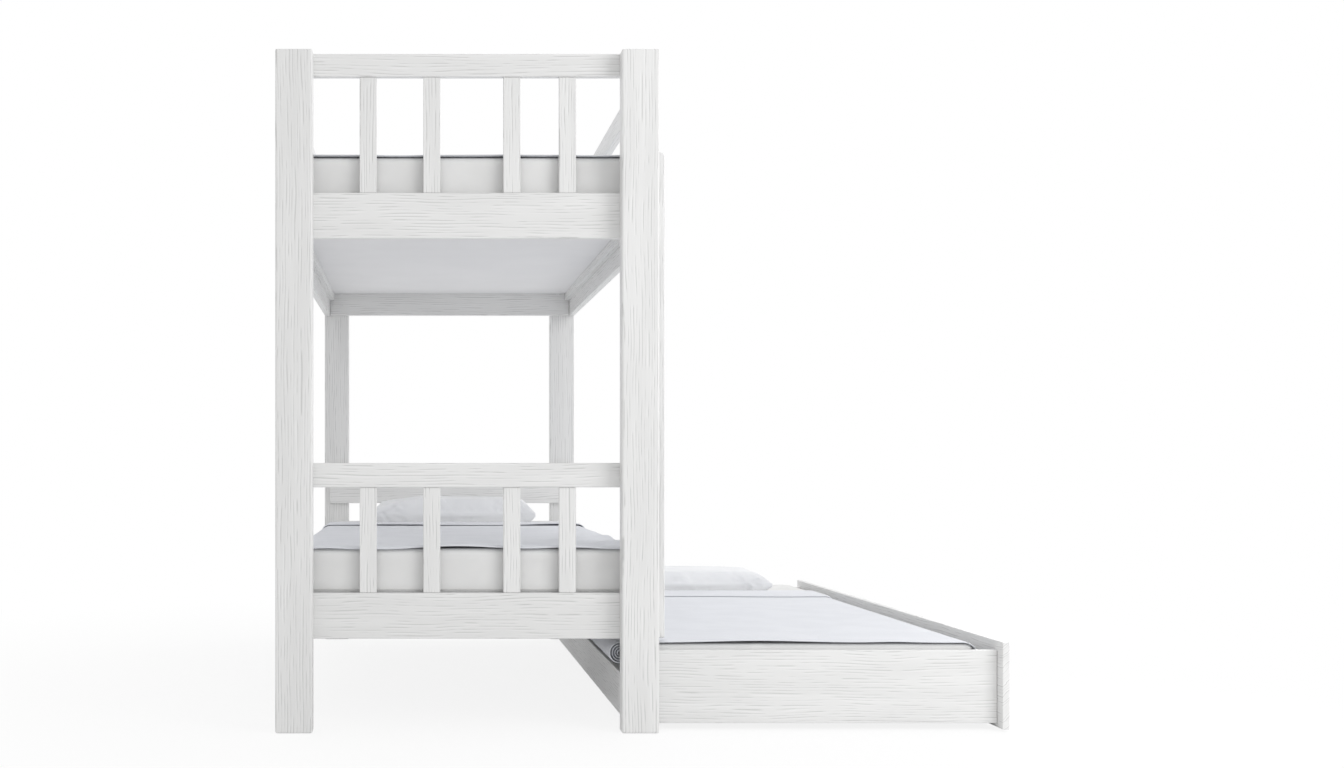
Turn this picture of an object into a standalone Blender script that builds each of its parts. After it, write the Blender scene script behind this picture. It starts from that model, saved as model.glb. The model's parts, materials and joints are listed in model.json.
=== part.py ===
"""Bunk bed with a pull-out trundle, in metres with +Z up.

The bed lies lengthways along Y with its foot end at -Y, and the trundle is pulled out
towards +X. The origin is on the floor, in the middle of the whole footprint. Pieces are
given in bed coordinates: x from the left outer face, y from the foot posts' outer face.
"""
import math

import bmesh
import bpy
from mathutils import Matrix, Vector

# Fits between pieces
TOUCH_GAP = 0.0003
PLATFORM_FIT = 0.0010
ROLLING_GAP = 0.0010

# Mattresses
MATTRESS_WIDTH = 0.900
MATTRESS_LENGTH = 1.900
MATTRESS_THICK = 0.117
MATTRESS_CROWN = 0.004
MATTRESS_SIDE_ROOM = 0.018
MATTRESS_END_ROOM = 0.0047
MATTRESS_ROUNDING = 0.022
MATTRESS_SIDE_DRAW = 0.003
TRUNDLE_MATTRESS_THICK = 0.100
TRUNDLE_MATTRESS_CROWN = 0.0015

# Bed frame
BED_HEIGHT = 1.747
POST_WIDTH = 0.095
POST_DEPTH = 0.048
POST_ROUNDING = 0.0045
BOARD_THICK = 0.022
BOARD_ROUNDING = 0.0025

# Beams at platform height, and the rails above them
BEAM_HEIGHT = 0.118
LOWER_BEAM_BOTTOM = 0.236
UPPER_END_HEIGHT = 0.477
LOWER_END_HEIGHT = 0.454
UPPER_RAIL_HEIGHT = 0.059
LOWER_RAIL_HEIGHT = 0.063
HEAD_BOARD_HEIGHT = 0.155

# Slats of the end frames, at the places that the bed has them across its width
SLAT_WIDTH = 0.044
SLAT_THICK = 0.014
SLAT_ROUNDING = 0.0015
SLAT_CENTRE_SHARES = (0.2405, 0.4084, 0.6197, 0.7666)

# Platforms and the cleats glued along the side rails that carry them
PLATFORM_THICK = 0.015
UPPER_PLATFORM_DROP = 0.019
LOWER_PLATFORM_DROP = 0.005
CLEAT_HEIGHT = 0.027
CLEAT_THICK = 0.018

# Guard rails
GUARD_DROP = 0.014
GUARD_HEIGHT = 0.066
GUARD_SUPPORT_WIDTH = 0.045

# Ladder
LADDER_SETBACK = 0.070
LADDER_WIDTH = 0.410
LADDER_ABOVE_BEAM = 0.111
STILE_THICK = 0.025
STILE_DEPTH = 0.060
STILE_CHAMFER = 0.009
RUNG_COUNT = 4
RUNG_HEIGHT = 0.050
RUNG_THICK = 0.020

# Trundle
TRUNDLE_OVERLAP = 0.075
TRUNDLE_BOARD = 0.018
TRUNDLE_BOARD_ROUNDING = 0.002
TRUNDLE_POST_GAP = 0.006
TRUNDLE_FLOOR_GAP = 0.017
TRUNDLE_BEDDING_GAP = 0.018
TRUNDLE_SIDE_ROOM = 0.020
TRUNDLE_BEDDING_SHIFT = 0.012
END_BOARD_DROP = 0.030
BACK_RAIL_RISE = 0.012
FRONT_PANEL_INSET = 0.020
FRONT_PANEL_FLOOR_GAP = 0.006
FRONT_PANEL_DROP = 0.0055
BEARER_THICK = 0.040
BEARER_INSET = 0.130

# Casters
WHEEL_SIDES = 24
WHEEL_RADIUS = 0.022
WHEEL_WIDTH = 0.018
WHEEL_ROUNDING = 0.003
AXLE_SIDES = 12
AXLE_RADIUS = 0.004
AXLE_OVERHANG = 0.002
CASTER_INSET = 0.060
CASTER_WALL = 0.0025
CASTER_LENGTH = 0.034
CASTER_SKIRT = 0.010
WHEEL_TOP_GAP = 0.0029

# Covers
COVER_THICK = 0.0085
COVER_LIFT = 0.0007
COVER_FOOT_INSET = 0.002
COVER_SIDE_REACH = 0.004
COVER_TURN = 0.024
COVER_SIDE_HANG = 0.022
COVER_RIPPLE = 0.004
TRUNDLE_COVER_RIPPLE = 0.0025
RIPPLE_LENGTH = 0.235
RIPPLE_FADE = 0.240
COVER_PILLOW_GAP = 0.020
TRUNDLE_COVER_OVERHANG = 0.038
TRUNDLE_COVER_HANG = 0.028
TRUNDLE_COVER_TUCK_REACH = 0.004
TRUNDLE_COVER_TUCK = 0.012

# Pillows
PILLOW_WIDTH = 0.610
PILLOW_LENGTH = 0.375
PILLOW_THICK = 0.098
TRUNDLE_PILLOW_THICK = 0.078
PILLOW_HEAD_GAP = 0.012
PILLOW_LIFT = 0.0004
PILLOW_CONTACT_SHARE = 0.7
PILLOW_SEAM_SHARE = 0.36
PILLOW_EDGE_SHARE = 0.10
PILLOW_DRAW_SHARE = 0.07

# How finely the soft forms are divided
MATTRESS_WIDE_STEPS = 4
MATTRESS_LONG_STEPS = 8
COVER_WIDE_STEPS = 16
COVER_LONG_STEPS = 9
COVER_TURN_STEPS = 3
PILLOW_SHARES = (-0.92, -0.7, -0.35, 0.0, 0.35, 0.7, 0.92)

# How far the covers reach from the foot end towards the pillows
PILLOW_ROOM = PILLOW_HEAD_GAP + PILLOW_LENGTH + COVER_PILLOW_GAP
COVER_LENGTH = MATTRESS_LENGTH - PILLOW_ROOM - COVER_FOOT_INSET

# The bed is made to fit round its mattresses
END_RAIL_OUTER = POST_DEPTH + TOUCH_GAP
END_RAIL_INNER = END_RAIL_OUTER + BOARD_THICK
MATTRESS_FOOT = END_RAIL_INNER + MATTRESS_END_ROOM
BED_LENGTH = MATTRESS_LENGTH + 2 * MATTRESS_FOOT
BED_WIDTH = MATTRESS_WIDTH + 2 * (MATTRESS_SIDE_ROOM + BOARD_THICK)
INNER_LEFT = BOARD_THICK
INNER_RIGHT = BED_WIDTH - BOARD_THICK

# Heights of the beams and of the rails above them
LOWER_BEAM_TOP = LOWER_BEAM_BOTTOM + BEAM_HEIGHT
LOWER_RAIL_TOP = LOWER_BEAM_BOTTOM + LOWER_END_HEIGHT
UPPER_BEAM_BOTTOM = BED_HEIGHT - UPPER_END_HEIGHT
UPPER_BEAM_TOP = UPPER_BEAM_BOTTOM + BEAM_HEIGHT
UPPER_PLATFORM_TOP = UPPER_BEAM_TOP - UPPER_PLATFORM_DROP
LOWER_PLATFORM_TOP = LOWER_BEAM_TOP - LOWER_PLATFORM_DROP
GUARD_TOP = BED_HEIGHT - GUARD_DROP

# Where the trundle stands when it is pulled out, and how high it is built
TRUNDLE_LEFT = BED_WIDTH - TRUNDLE_OVERLAP
TRUNDLE_INNER_LEFT = TRUNDLE_LEFT + TRUNDLE_BOARD
TRUNDLE_INNER_RIGHT = TRUNDLE_INNER_LEFT + MATTRESS_WIDTH + 2 * TRUNDLE_SIDE_ROOM
TRUNDLE_RIGHT = TRUNDLE_INNER_RIGHT + TRUNDLE_BOARD
TRUNDLE_FOOT = POST_DEPTH + TRUNDLE_POST_GAP
TRUNDLE_INNER_FOOT = TRUNDLE_FOOT + TRUNDLE_BOARD
TRUNDLE_PLATFORM_TOP = LOWER_BEAM_BOTTOM - TRUNDLE_BEDDING_GAP - TRUNDLE_MATTRESS_THICK
BEARER_TOP = TRUNDLE_PLATFORM_TOP - PLATFORM_THICK - TOUCH_GAP
BRACKET_TOP = 2 * WHEEL_RADIUS + WHEEL_TOP_GAP + CASTER_WALL
BEARER_BOTTOM = BRACKET_TOP + TOUCH_GAP
ORIGIN = Vector((TRUNDLE_RIGHT / 2, BED_LENGTH / 2, 0))

WOOD_WHITE = (0.84, 0.84, 0.83)
BOARD_WHITE = (0.80, 0.80, 0.79)
MATTRESS_WHITE = (0.78, 0.775, 0.76)
COVER_WHITE = (0.82, 0.83, 0.85)
PILLOW_WHITE = (0.86, 0.86, 0.86)
STEEL_GREY = (0.62, 0.63, 0.64)
WHEEL_GREY = (0.16, 0.16, 0.17)


def clear_scene():
    """Start from an empty scene with one collection for parts and one for cutters."""
    for thing in list(bpy.data.objects):
        bpy.data.objects.remove(thing, do_unlink=True)
    collections = []
    for name in ("bunk_bed_with_trundle", "cutters"):
        collection = bpy.data.collections.new(name)
        bpy.context.scene.collection.children.link(collection)
        collections.append(collection)
    return collections


PARTS, CUTTERS = clear_scene()


def make_material(name, colour, roughness, metallic=0.0):
    """A plain surface with one colour."""
    material = bpy.data.materials.new(name)
    material.use_nodes = True
    surface = material.node_tree.nodes["Principled BSDF"]
    surface.inputs["Base Color"].default_value = (*colour, 1)
    surface.inputs["Roughness"].default_value = roughness
    surface.inputs["Metallic"].default_value = metallic
    return material


PAINTED_WOOD = make_material("white_grained_wood", WOOD_WHITE, 0.5)
PLATFORM_BOARD = make_material("white_platform_board", BOARD_WHITE, 0.6)
MATTRESS_FABRIC = make_material("mattress_fabric", MATTRESS_WHITE, 0.95)
COVER_FABRIC = make_material("cover_fabric", COVER_WHITE, 0.95)
PILLOW_FABRIC = make_material("pillow_fabric", PILLOW_WHITE, 0.95)
STEEL = make_material("zinc_steel", STEEL_GREY, 0.35, 1.0)
WHEEL_PLASTIC = make_material("wheel_plastic", WHEEL_GREY, 0.5)


def in_row_frame(x, y, z):
    """Turn bed coordinates into the part's own frame."""
    return Vector((x, y, z)) - ORIGIN


def add_piece(name, shape, centre, material, parent=None, closed=True):
    """Make one named object from a bmesh that is centred on its own origin."""
    mesh = bpy.data.meshes.new(name)
    if closed:
        bmesh.ops.recalc_face_normals(shape, faces=shape.faces)
    shape.to_mesh(mesh)
    shape.free()
    piece = bpy.data.objects.new(name, mesh)
    piece.location = centre
    if parent is not None:
        piece.parent = parent
        piece.location = centre - parent.location
    PARTS.objects.link(piece)
    mesh.materials.append(material)
    return piece


def add_empty(name, centre):
    """A marker that carries the pieces of one moving body."""
    marker = bpy.data.objects.new(name, None)
    marker.location = centre
    PARTS.objects.link(marker)
    return marker


def block_shape(size):
    """A box of the given size, centred on the origin."""
    shape = bmesh.new()
    bmesh.ops.create_cube(shape, size=1)
    bmesh.ops.scale(shape, vec=size, verts=shape.verts)
    return shape


def ease_edges(piece, width, segments=1):
    """Round the edges of a squared piece."""
    bevel = piece.modifiers.new("eased_edges", "BEVEL")
    bevel.width = width
    bevel.segments = segments


def board(name, x_span, y_span, z_span, material=PAINTED_WOOD, rounding=BOARD_ROUNDING,
          segments=1, parent=None):
    """A squared piece of timber or board, given by its spans in bed coordinates."""
    spans = (x_span, y_span, z_span)
    size = [high - low for low, high in spans]
    middle = [(low + high) / 2 for low, high in spans]
    piece = add_piece(name, block_shape(size), in_row_frame(*middle), material, parent)
    if rounding:
        ease_edges(piece, rounding, segments)
    return piece


def shrink(span, gap=TOUCH_GAP):
    """Keep a small gap at both ends of a span."""
    return span[0] + gap, span[1] - gap


def at_end(end, span):
    """A span along y that is measured from the foot end, or mirrored to the head end."""
    if end == "foot":
        return span
    return BED_LENGTH - span[1], BED_LENGTH - span[0]


def at_side(side, span):
    """A span along x that is measured from the left side, or mirrored to the right side."""
    if side == "left":
        return span
    return BED_WIDTH - span[1], BED_WIDTH - span[0]


def rod_shape(radius, length, sides, axis):
    """A round rod along the x or y axis, centred on the origin."""
    shape = bmesh.new()
    turn = {"X": Matrix.Rotation(math.pi / 2, 4, "Y"), "Y": Matrix.Rotation(math.pi / 2, 4, "X")}
    bmesh.ops.create_cone(shape, cap_ends=True, segments=sides, radius1=radius,
                          radius2=radius, depth=length, matrix=turn[axis])
    return shape


def combine(piece, shape, place, operation):
    """Cut a closed shape, placed in the part's frame, out of a piece, or join it on."""
    mesh = bpy.data.meshes.new(piece.name + "_tool")
    bmesh.ops.recalc_face_normals(shape, faces=shape.faces)
    shape.to_mesh(mesh)
    shape.free()
    tool = bpy.data.objects.new(piece.name + "_tool", mesh)
    tool.location = place
    tool.hide_render = True
    tool.display_type = "WIRE"
    CUTTERS.objects.link(tool)
    boolean = piece.modifiers.new(operation.lower(), "BOOLEAN")
    boolean.operation = operation
    boolean.object = tool


# Bed frame


def end_frame(end):
    """The posts of one end, with the beams, rails and slats across it."""
    for side in ("left", "right"):
        board(f"post_{end}_{side}", at_side(side, (0, POST_WIDTH)), at_end(end, (0, POST_DEPTH)),
              (0, BED_HEIGHT), rounding=POST_ROUNDING, segments=2)
    end_rail(end, "upper_beam", UPPER_BEAM_BOTTOM + BEAM_HEIGHT, BEAM_HEIGHT)
    end_rail(end, "lower_beam", LOWER_BEAM_BOTTOM + BEAM_HEIGHT, BEAM_HEIGHT)
    if end == "head":
        end_rail(end, "upper_board", BED_HEIGHT, HEAD_BOARD_HEIGHT)
        end_rail(end, "lower_board", LOWER_RAIL_TOP, HEAD_BOARD_HEIGHT)
    else:
        end_rail(end, "upper_top_rail", BED_HEIGHT, UPPER_RAIL_HEIGHT)
        end_rail(end, "lower_top_rail", LOWER_RAIL_TOP, LOWER_RAIL_HEIGHT)
        slats("upper", UPPER_BEAM_TOP, BED_HEIGHT - UPPER_RAIL_HEIGHT)
        slats("lower", LOWER_BEAM_TOP, LOWER_RAIL_TOP - LOWER_RAIL_HEIGHT)


def end_rail(end, name, top, height):
    """A rail, beam or board across one end, lapped on the inner faces of both posts."""
    board(f"{end}_{name}", shrink((INNER_LEFT, INNER_RIGHT)),
          at_end(end, (END_RAIL_OUTER, END_RAIL_INNER)), (top - height, top), segments=2)


def slats(level, bottom, top):
    """The upright slats of the foot end between a beam and the rail above it."""
    setback = (BOARD_THICK - SLAT_THICK) / 2
    for number, share in enumerate(SLAT_CENTRE_SHARES, start=1):
        middle = BED_WIDTH * share
        board(f"foot_{level}_slat_{number}", (middle - SLAT_WIDTH / 2, middle + SLAT_WIDTH / 2),
              (END_RAIL_OUTER + setback, END_RAIL_INNER - setback), shrink((bottom, top)),
              rounding=SLAT_ROUNDING)


def side_rails():
    """The long rails at both levels, each with a cleat along its inner face."""
    y_span = shrink((POST_DEPTH, BED_LENGTH - POST_DEPTH))
    cleat_length = BED_LENGTH - 2 * END_RAIL_INNER - 2 * PLATFORM_FIT
    cleat_size = (CLEAT_THICK + BOARD_THICK / 2, cleat_length, CLEAT_HEIGHT)
    for level, beam_top, platform_top in (("upper", UPPER_BEAM_TOP, UPPER_PLATFORM_TOP),
                                          ("lower", LOWER_BEAM_TOP, LOWER_PLATFORM_TOP)):
        cleat_top = platform_top - PLATFORM_THICK - TOUCH_GAP
        for side in ("left", "right"):
            rail = board(f"side_{level}_rail_{side}", at_side(side, (0, BOARD_THICK)), y_span,
                         (beam_top - BEAM_HEIGHT, beam_top), segments=2)
            x = sum(at_side(side, (BOARD_THICK / 2, BOARD_THICK + CLEAT_THICK))) / 2
            place = in_row_frame(x, BED_LENGTH / 2, cleat_top - CLEAT_HEIGHT / 2)
            combine(rail, block_shape(cleat_size), place, "UNION")


def platforms():
    """The board under each fixed mattress, resting on the cleats."""
    for level, top in (("upper", UPPER_PLATFORM_TOP), ("lower", LOWER_PLATFORM_TOP)):
        board(f"{level}_platform", shrink((INNER_LEFT, INNER_RIGHT), PLATFORM_FIT),
              shrink((END_RAIL_INNER, BED_LENGTH - END_RAIL_INNER), PLATFORM_FIT),
              (top - PLATFORM_THICK, top), PLATFORM_BOARD, SLAT_ROUNDING)


def guard_rails():
    """The rail along the whole left side, and the right one past the ladder's opening."""
    left_x = (0, BOARD_THICK)
    right_x = at_side("right", left_x)
    z_span = (GUARD_TOP - GUARD_HEIGHT, GUARD_TOP)
    y_span = shrink((POST_DEPTH, BED_LENGTH - POST_DEPTH))
    board("guard_rail_left", left_x, y_span, z_span, segments=2)
    support_near = LADDER_SETBACK + LADDER_WIDTH
    board("guard_rail_right", right_x, (support_near, y_span[1]), z_span, segments=2)
    board("guard_support_right", right_x, (support_near, support_near + GUARD_SUPPORT_WIDTH),
          shrink((UPPER_BEAM_TOP, z_span[0])))


def ladder():
    """Two stiles against the right side rails, with the rungs between them."""
    x_span = (BED_WIDTH + TOUCH_GAP, BED_WIDTH + TOUCH_GAP + STILE_THICK)
    near = LADDER_SETBACK
    far = LADDER_SETBACK + LADDER_WIDTH
    ladder_stile("near", x_span, (near, near + STILE_DEPTH))
    ladder_stile("far", x_span, (far - STILE_DEPTH, far))
    middle = sum(x_span) / 2
    pitch = (UPPER_BEAM_BOTTOM - LOWER_BEAM_TOP) / RUNG_COUNT
    for number in range(RUNG_COUNT):
        z = LOWER_BEAM_TOP + pitch / 2 + pitch * number
        board(f"ladder_rung_{number + 1}", (middle - RUNG_THICK / 2, middle + RUNG_THICK / 2),
              shrink((near + STILE_DEPTH, far - STILE_DEPTH)),
              (z - RUNG_HEIGHT / 2, z + RUNG_HEIGHT / 2))


def ladder_stile(name, x_span, y_span):
    """One upright of the ladder, with the outer corner of its top cut off at a slant."""
    spans = (x_span, y_span, (LOWER_BEAM_BOTTOM, UPPER_BEAM_TOP + LADDER_ABOVE_BEAM))
    shape = block_shape([high - low for low, high in spans])
    edge = max(shape.edges, key=lambda item: sum(vert.co.x + vert.co.z for vert in item.verts))
    bmesh.ops.bevel(shape, geom=[edge], offset=STILE_CHAMFER, segments=1, affect="EDGES")
    middle = in_row_frame(*(sum(span) / 2 for span in spans))
    stile = add_piece(f"ladder_stile_{name}", shape, middle, PAINTED_WOOD)
    ease_edges(stile, BOARD_ROUNDING)


# Trundle


def trundle_boards(carrier):
    """The four sides of the trundle's box, and the board that its mattress lies on."""
    board("trundle_front_panel", (TRUNDLE_INNER_RIGHT, TRUNDLE_RIGHT),
          (FRONT_PANEL_INSET, BED_LENGTH - FRONT_PANEL_INSET),
          (FRONT_PANEL_FLOOR_GAP, LOWER_BEAM_BOTTOM - FRONT_PANEL_DROP),
          rounding=TRUNDLE_BOARD_ROUNDING, segments=2, parent=carrier)
    board("trundle_back_rail", (TRUNDLE_LEFT, TRUNDLE_INNER_LEFT),
          (TRUNDLE_FOOT, BED_LENGTH - TRUNDLE_FOOT),
          (TRUNDLE_FLOOR_GAP, TRUNDLE_PLATFORM_TOP + BACK_RAIL_RISE),
          rounding=TRUNDLE_BOARD_ROUNDING, segments=2, parent=carrier)
    for end in ("foot", "head"):
        board(f"trundle_end_board_{end}", shrink((TRUNDLE_INNER_LEFT, TRUNDLE_INNER_RIGHT)),
              at_end(end, (TRUNDLE_FOOT, TRUNDLE_INNER_FOOT)),
              (TRUNDLE_FLOOR_GAP, LOWER_BEAM_BOTTOM - END_BOARD_DROP),
              rounding=TRUNDLE_BOARD_ROUNDING, segments=2, parent=carrier)
    board("trundle_platform", shrink((TRUNDLE_INNER_LEFT, TRUNDLE_INNER_RIGHT)),
          shrink((TRUNDLE_INNER_FOOT, BED_LENGTH - TRUNDLE_INNER_FOOT)),
          (TRUNDLE_PLATFORM_TOP - PLATFORM_THICK, TRUNDLE_PLATFORM_TOP), PLATFORM_BOARD,
          SLAT_ROUNDING, parent=carrier)


def bearer_span(end):
    """Where a bearer lies along the trundle."""
    near = TRUNDLE_INNER_FOOT + BEARER_INSET
    return at_end(end, (near, near + BEARER_THICK))


def trundle_bearers(carrier):
    """The two cross bearers that carry the platform and hold the casters."""
    for end in ("foot", "head"):
        board(f"trundle_bearer_{end}", shrink((TRUNDLE_INNER_LEFT, TRUNDLE_INNER_RIGHT)),
              bearer_span(end), (BEARER_BOTTOM, BEARER_TOP),
              rounding=SLAT_ROUNDING, parent=carrier)


def caster_places():
    """The wheel centres, two under each bearer."""
    places = []
    for end in ("foot", "head"):
        y = sum(bearer_span(end)) / 2
        for x in (TRUNDLE_INNER_LEFT + CASTER_INSET, TRUNDLE_INNER_RIGHT - CASTER_INSET):
            places.append(in_row_frame(x, y, WHEEL_RADIUS))
    return places


def casters(carrier):
    """A wheel at each place, and the forked bracket with its riveted axle over it."""
    for number, place in enumerate(caster_places(), start=1):
        caster_bracket(f"caster_bracket_{number}", place, carrier)
        caster_wheel(f"caster_wheel_{number}", place, carrier)


def caster_bracket(name, place, carrier):
    """A steel fork under the bearer, with the axle fixed across its legs."""
    fork_inside = WHEEL_WIDTH + 2 * ROLLING_GAP
    fork_width = fork_inside + 2 * CASTER_WALL
    bottom = WHEEL_RADIUS - CASTER_SKIRT
    height = BRACKET_TOP - bottom
    middle = Vector((place.x, place.y, bottom + height / 2))
    fork = add_piece(name, block_shape((CASTER_LENGTH, fork_width, height)), middle, STEEL, carrier)
    slot = block_shape((2 * CASTER_LENGTH, fork_inside, height))
    combine(fork, slot, middle - Vector((0, 0, CASTER_WALL)), "DIFFERENCE")
    axle = rod_shape(AXLE_RADIUS, fork_width + 2 * AXLE_OVERHANG, AXLE_SIDES, "Y")
    combine(fork, axle, place, "UNION")


def caster_wheel(name, place, carrier):
    """A wheel with a rounded tread, its origin on its own axle."""
    shape = rod_shape(WHEEL_RADIUS, WHEEL_WIDTH, WHEEL_SIDES, "Y")
    rims = [edge for edge in shape.edges
            if abs(edge.verts[0].co.y - edge.verts[1].co.y) < TOUCH_GAP]
    bmesh.ops.bevel(shape, geom=rims, offset=WHEEL_ROUNDING, segments=2, affect="EDGES")
    wheel = add_piece(name, shape, place, WHEEL_PLASTIC, carrier)
    bore = rod_shape(AXLE_RADIUS + TOUCH_GAP, 2 * WHEEL_WIDTH, AXLE_SIDES, "Y")
    combine(wheel, bore, place, "DIFFERENCE")


# Mattresses, covers and pillows


def thicken(piece, thickness, offset):
    """Give an open surface its thickness, behind it for -1 and in front of it for 1."""
    solidify = piece.modifiers.new("thickness", "SOLIDIFY")
    solidify.thickness = thickness
    solidify.offset = offset


def even_steps(half, rounding, count):
    """Places across a soft block: the start of each edge's round, and even steps between."""
    flat = half - rounding
    return [flat * (2 * step / count - 1) for step in range(count + 1)]


def slice_block(shape, steps_by_axis):
    """Cut grid lines around a block at the given places along each axis."""
    for axis, steps in enumerate(steps_by_axis):
        normal = Vector((0, 0, 0))
        normal[axis] = 1
        for step in steps:
            bmesh.ops.bisect_plane(shape, geom=shape.verts[:] + shape.edges[:] + shape.faces[:],
                                   plane_co=normal * step, plane_no=normal)


def swell(x, y, width, length):
    """How much of the crown stands at a place: all of it in the middle, none at the edges."""
    across = min(abs(2 * x / width), 1)
    along = min(abs(2 * y / length), 1)
    return (1 - across ** 2) * (1 - along ** 2)


def mattress(name, middle_x, bottom, thickness, crown, carrier=None):
    """A foam mattress: rounded edges, a low crown and sides drawn in at half height."""
    half = Vector((MATTRESS_WIDTH / 2, MATTRESS_LENGTH / 2, thickness / 2))
    shape = block_shape(2 * half)
    inner = half - Vector((MATTRESS_ROUNDING,) * 3)
    slice_block(shape, (even_steps(half.x, MATTRESS_ROUNDING, MATTRESS_WIDE_STEPS),
                        even_steps(half.y, MATTRESS_ROUNDING, MATTRESS_LONG_STEPS),
                        even_steps(half.z, MATTRESS_ROUNDING, 2)))
    for vert in shape.verts:
        core = Vector([max(-inner[i], min(inner[i], vert.co[i])) for i in range(3)])
        outward = vert.co - core
        if outward.length > 0:
            outward = outward.normalized() * MATTRESS_ROUNDING
        level = vert.co.z / half.z
        draw = MATTRESS_SIDE_DRAW * (1 - level ** 2)
        outward.x -= math.copysign(draw, outward.x) if outward.x else 0
        outward.y -= math.copysign(draw, outward.y) if outward.y else 0
        vert.co = core + outward
        if level > 0:
            vert.co.z += crown * level * swell(vert.co.x, vert.co.y, MATTRESS_WIDTH,
                                               MATTRESS_LENGTH)
    centre = in_row_frame(middle_x, BED_LENGTH / 2, bottom + TOUCH_GAP + thickness / 2)
    add_piece(name, shape, centre, MATTRESS_FABRIC, carrier)


def arc_points(middle, radius, start, end, steps):
    """Points along an arc in the x-z plane, without its first one."""
    points = []
    for step in range(1, steps + 1):
        angle = math.radians(start + (end - start) * step / steps)
        points.append((middle[0] + radius * math.cos(angle), middle[1] + radius * math.sin(angle)))
    return points


def cover_section(left, right, top, left_hang, right_hang):
    """The underside of a cover across the bed: down both sides and flat over the top."""
    shoulder = top - COVER_TURN
    points = [(left, shoulder - left_hang), (left, shoulder)]
    points += arc_points((left + COVER_TURN, shoulder), COVER_TURN, 180, 90, COVER_TURN_STEPS)
    flat_start = left + COVER_TURN
    flat_end = right - COVER_TURN
    for step in range(1, COVER_WIDE_STEPS + 1):
        points.append((flat_start + (flat_end - flat_start) * step / COVER_WIDE_STEPS, top))
    points += arc_points((right - COVER_TURN, shoulder), COVER_TURN, 90, 0, COVER_TURN_STEPS)
    points.append((right, shoulder - right_hang))
    return points


def cover(name, section, middle_x, length, crown, ripple, carrier=None):
    """A thin quilt over a mattress, with a rippled hem at the foot end."""
    foot = MATTRESS_FOOT + COVER_FOOT_INSET
    top = max(z for x, z in section)
    left = section[0][0]
    shape = bmesh.new()
    columns = len(section) - 1
    bmesh.ops.create_grid(shape, x_segments=columns, y_segments=COVER_LONG_STEPS, size=1)
    middle = in_row_frame(middle_x, foot + length / 2, top)
    for vert in shape.verts:
        column = round((vert.co.x + 1) / 2 * columns)
        run = (vert.co.y + 1) / 2 * length
        x, z = section[column]
        lying = max(0, 1 - (top - z) / COVER_TURN)
        fade = max(0, 1 - run / RIPPLE_FADE) ** 2
        wave = (1 - math.cos(2 * math.pi * (x - left) / RIPPLE_LENGTH)) / 2
        rise = crown * swell(x - middle_x, foot + run - BED_LENGTH / 2, MATTRESS_WIDTH,
                             MATTRESS_LENGTH)
        lift = lying * (rise + ripple * wave * fade)
        vert.co = in_row_frame(x, foot + run, z + lift) - middle
    quilt = add_piece(name, shape, middle, COVER_FABRIC, carrier, closed=False)
    thicken(quilt, COVER_THICK, 1)


def pillow(name, middle_x, bed_top, thickness, crown, carrier=None):
    """A filled pillow: a seam all round, drawn-in sides and a plump middle."""
    half = Vector((PILLOW_WIDTH / 2, PILLOW_LENGTH / 2, thickness / 2))
    shape = block_shape(2 * half)
    slice_block(shape, ([half.x * share for share in PILLOW_SHARES],
                        [half.y * share for share in PILLOW_SHARES], (0,)))
    seam = thickness * PILLOW_SEAM_SHARE
    for vert in shape.verts:
        u, v = vert.co.x / half.x, vert.co.y / half.y
        level = vert.co.z / half.z
        full = math.sqrt(max(0, 1 - u ** 4) * max(0, 1 - v ** 4))
        flat = math.sqrt(max(0, 1 - u ** 8) * max(0, 1 - v ** 8))
        plump = full if level > 0 else flat
        reach = thickness - seam if level > 0 else seam
        vert.co.z = seam - thickness / 2
        vert.co.z += level * reach * (PILLOW_EDGE_SHARE + (1 - PILLOW_EDGE_SHARE) * plump)
        vert.co.x *= 1 - PILLOW_DRAW_SHARE * u ** 2 * (1 - v ** 2)
        vert.co.y *= 1 - PILLOW_DRAW_SHARE * v ** 2 * (1 - u ** 2)
    y = BED_LENGTH - MATTRESS_FOOT - PILLOW_HEAD_GAP - PILLOW_LENGTH / 2
    highest = y - PILLOW_LENGTH / 2 * PILLOW_CONTACT_SHARE - BED_LENGTH / 2
    seat = bed_top + crown * swell(0, highest, MATTRESS_WIDTH, MATTRESS_LENGTH)
    centre = in_row_frame(middle_x, y, seat + PILLOW_LIFT + thickness / 2)
    add_piece(name, shape, centre, PILLOW_FABRIC, carrier)


def berth(level, bottom):
    """The bedding of one fixed berth, on the platform whose top is given."""
    middle = BED_WIDTH / 2
    mattress(f"{level}_mattress", middle, bottom, MATTRESS_THICK, MATTRESS_CROWN)
    top = bottom + TOUCH_GAP + MATTRESS_THICK
    reach = MATTRESS_WIDTH / 2 + COVER_SIDE_REACH
    section = cover_section(middle - reach, middle + reach, top + COVER_LIFT,
                            COVER_SIDE_HANG, COVER_SIDE_HANG)
    cover(f"{level}_cover", section, middle, COVER_LENGTH, MATTRESS_CROWN, COVER_RIPPLE)
    pillow(f"{level}_pillow", middle, top, PILLOW_THICK, MATTRESS_CROWN)


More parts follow.
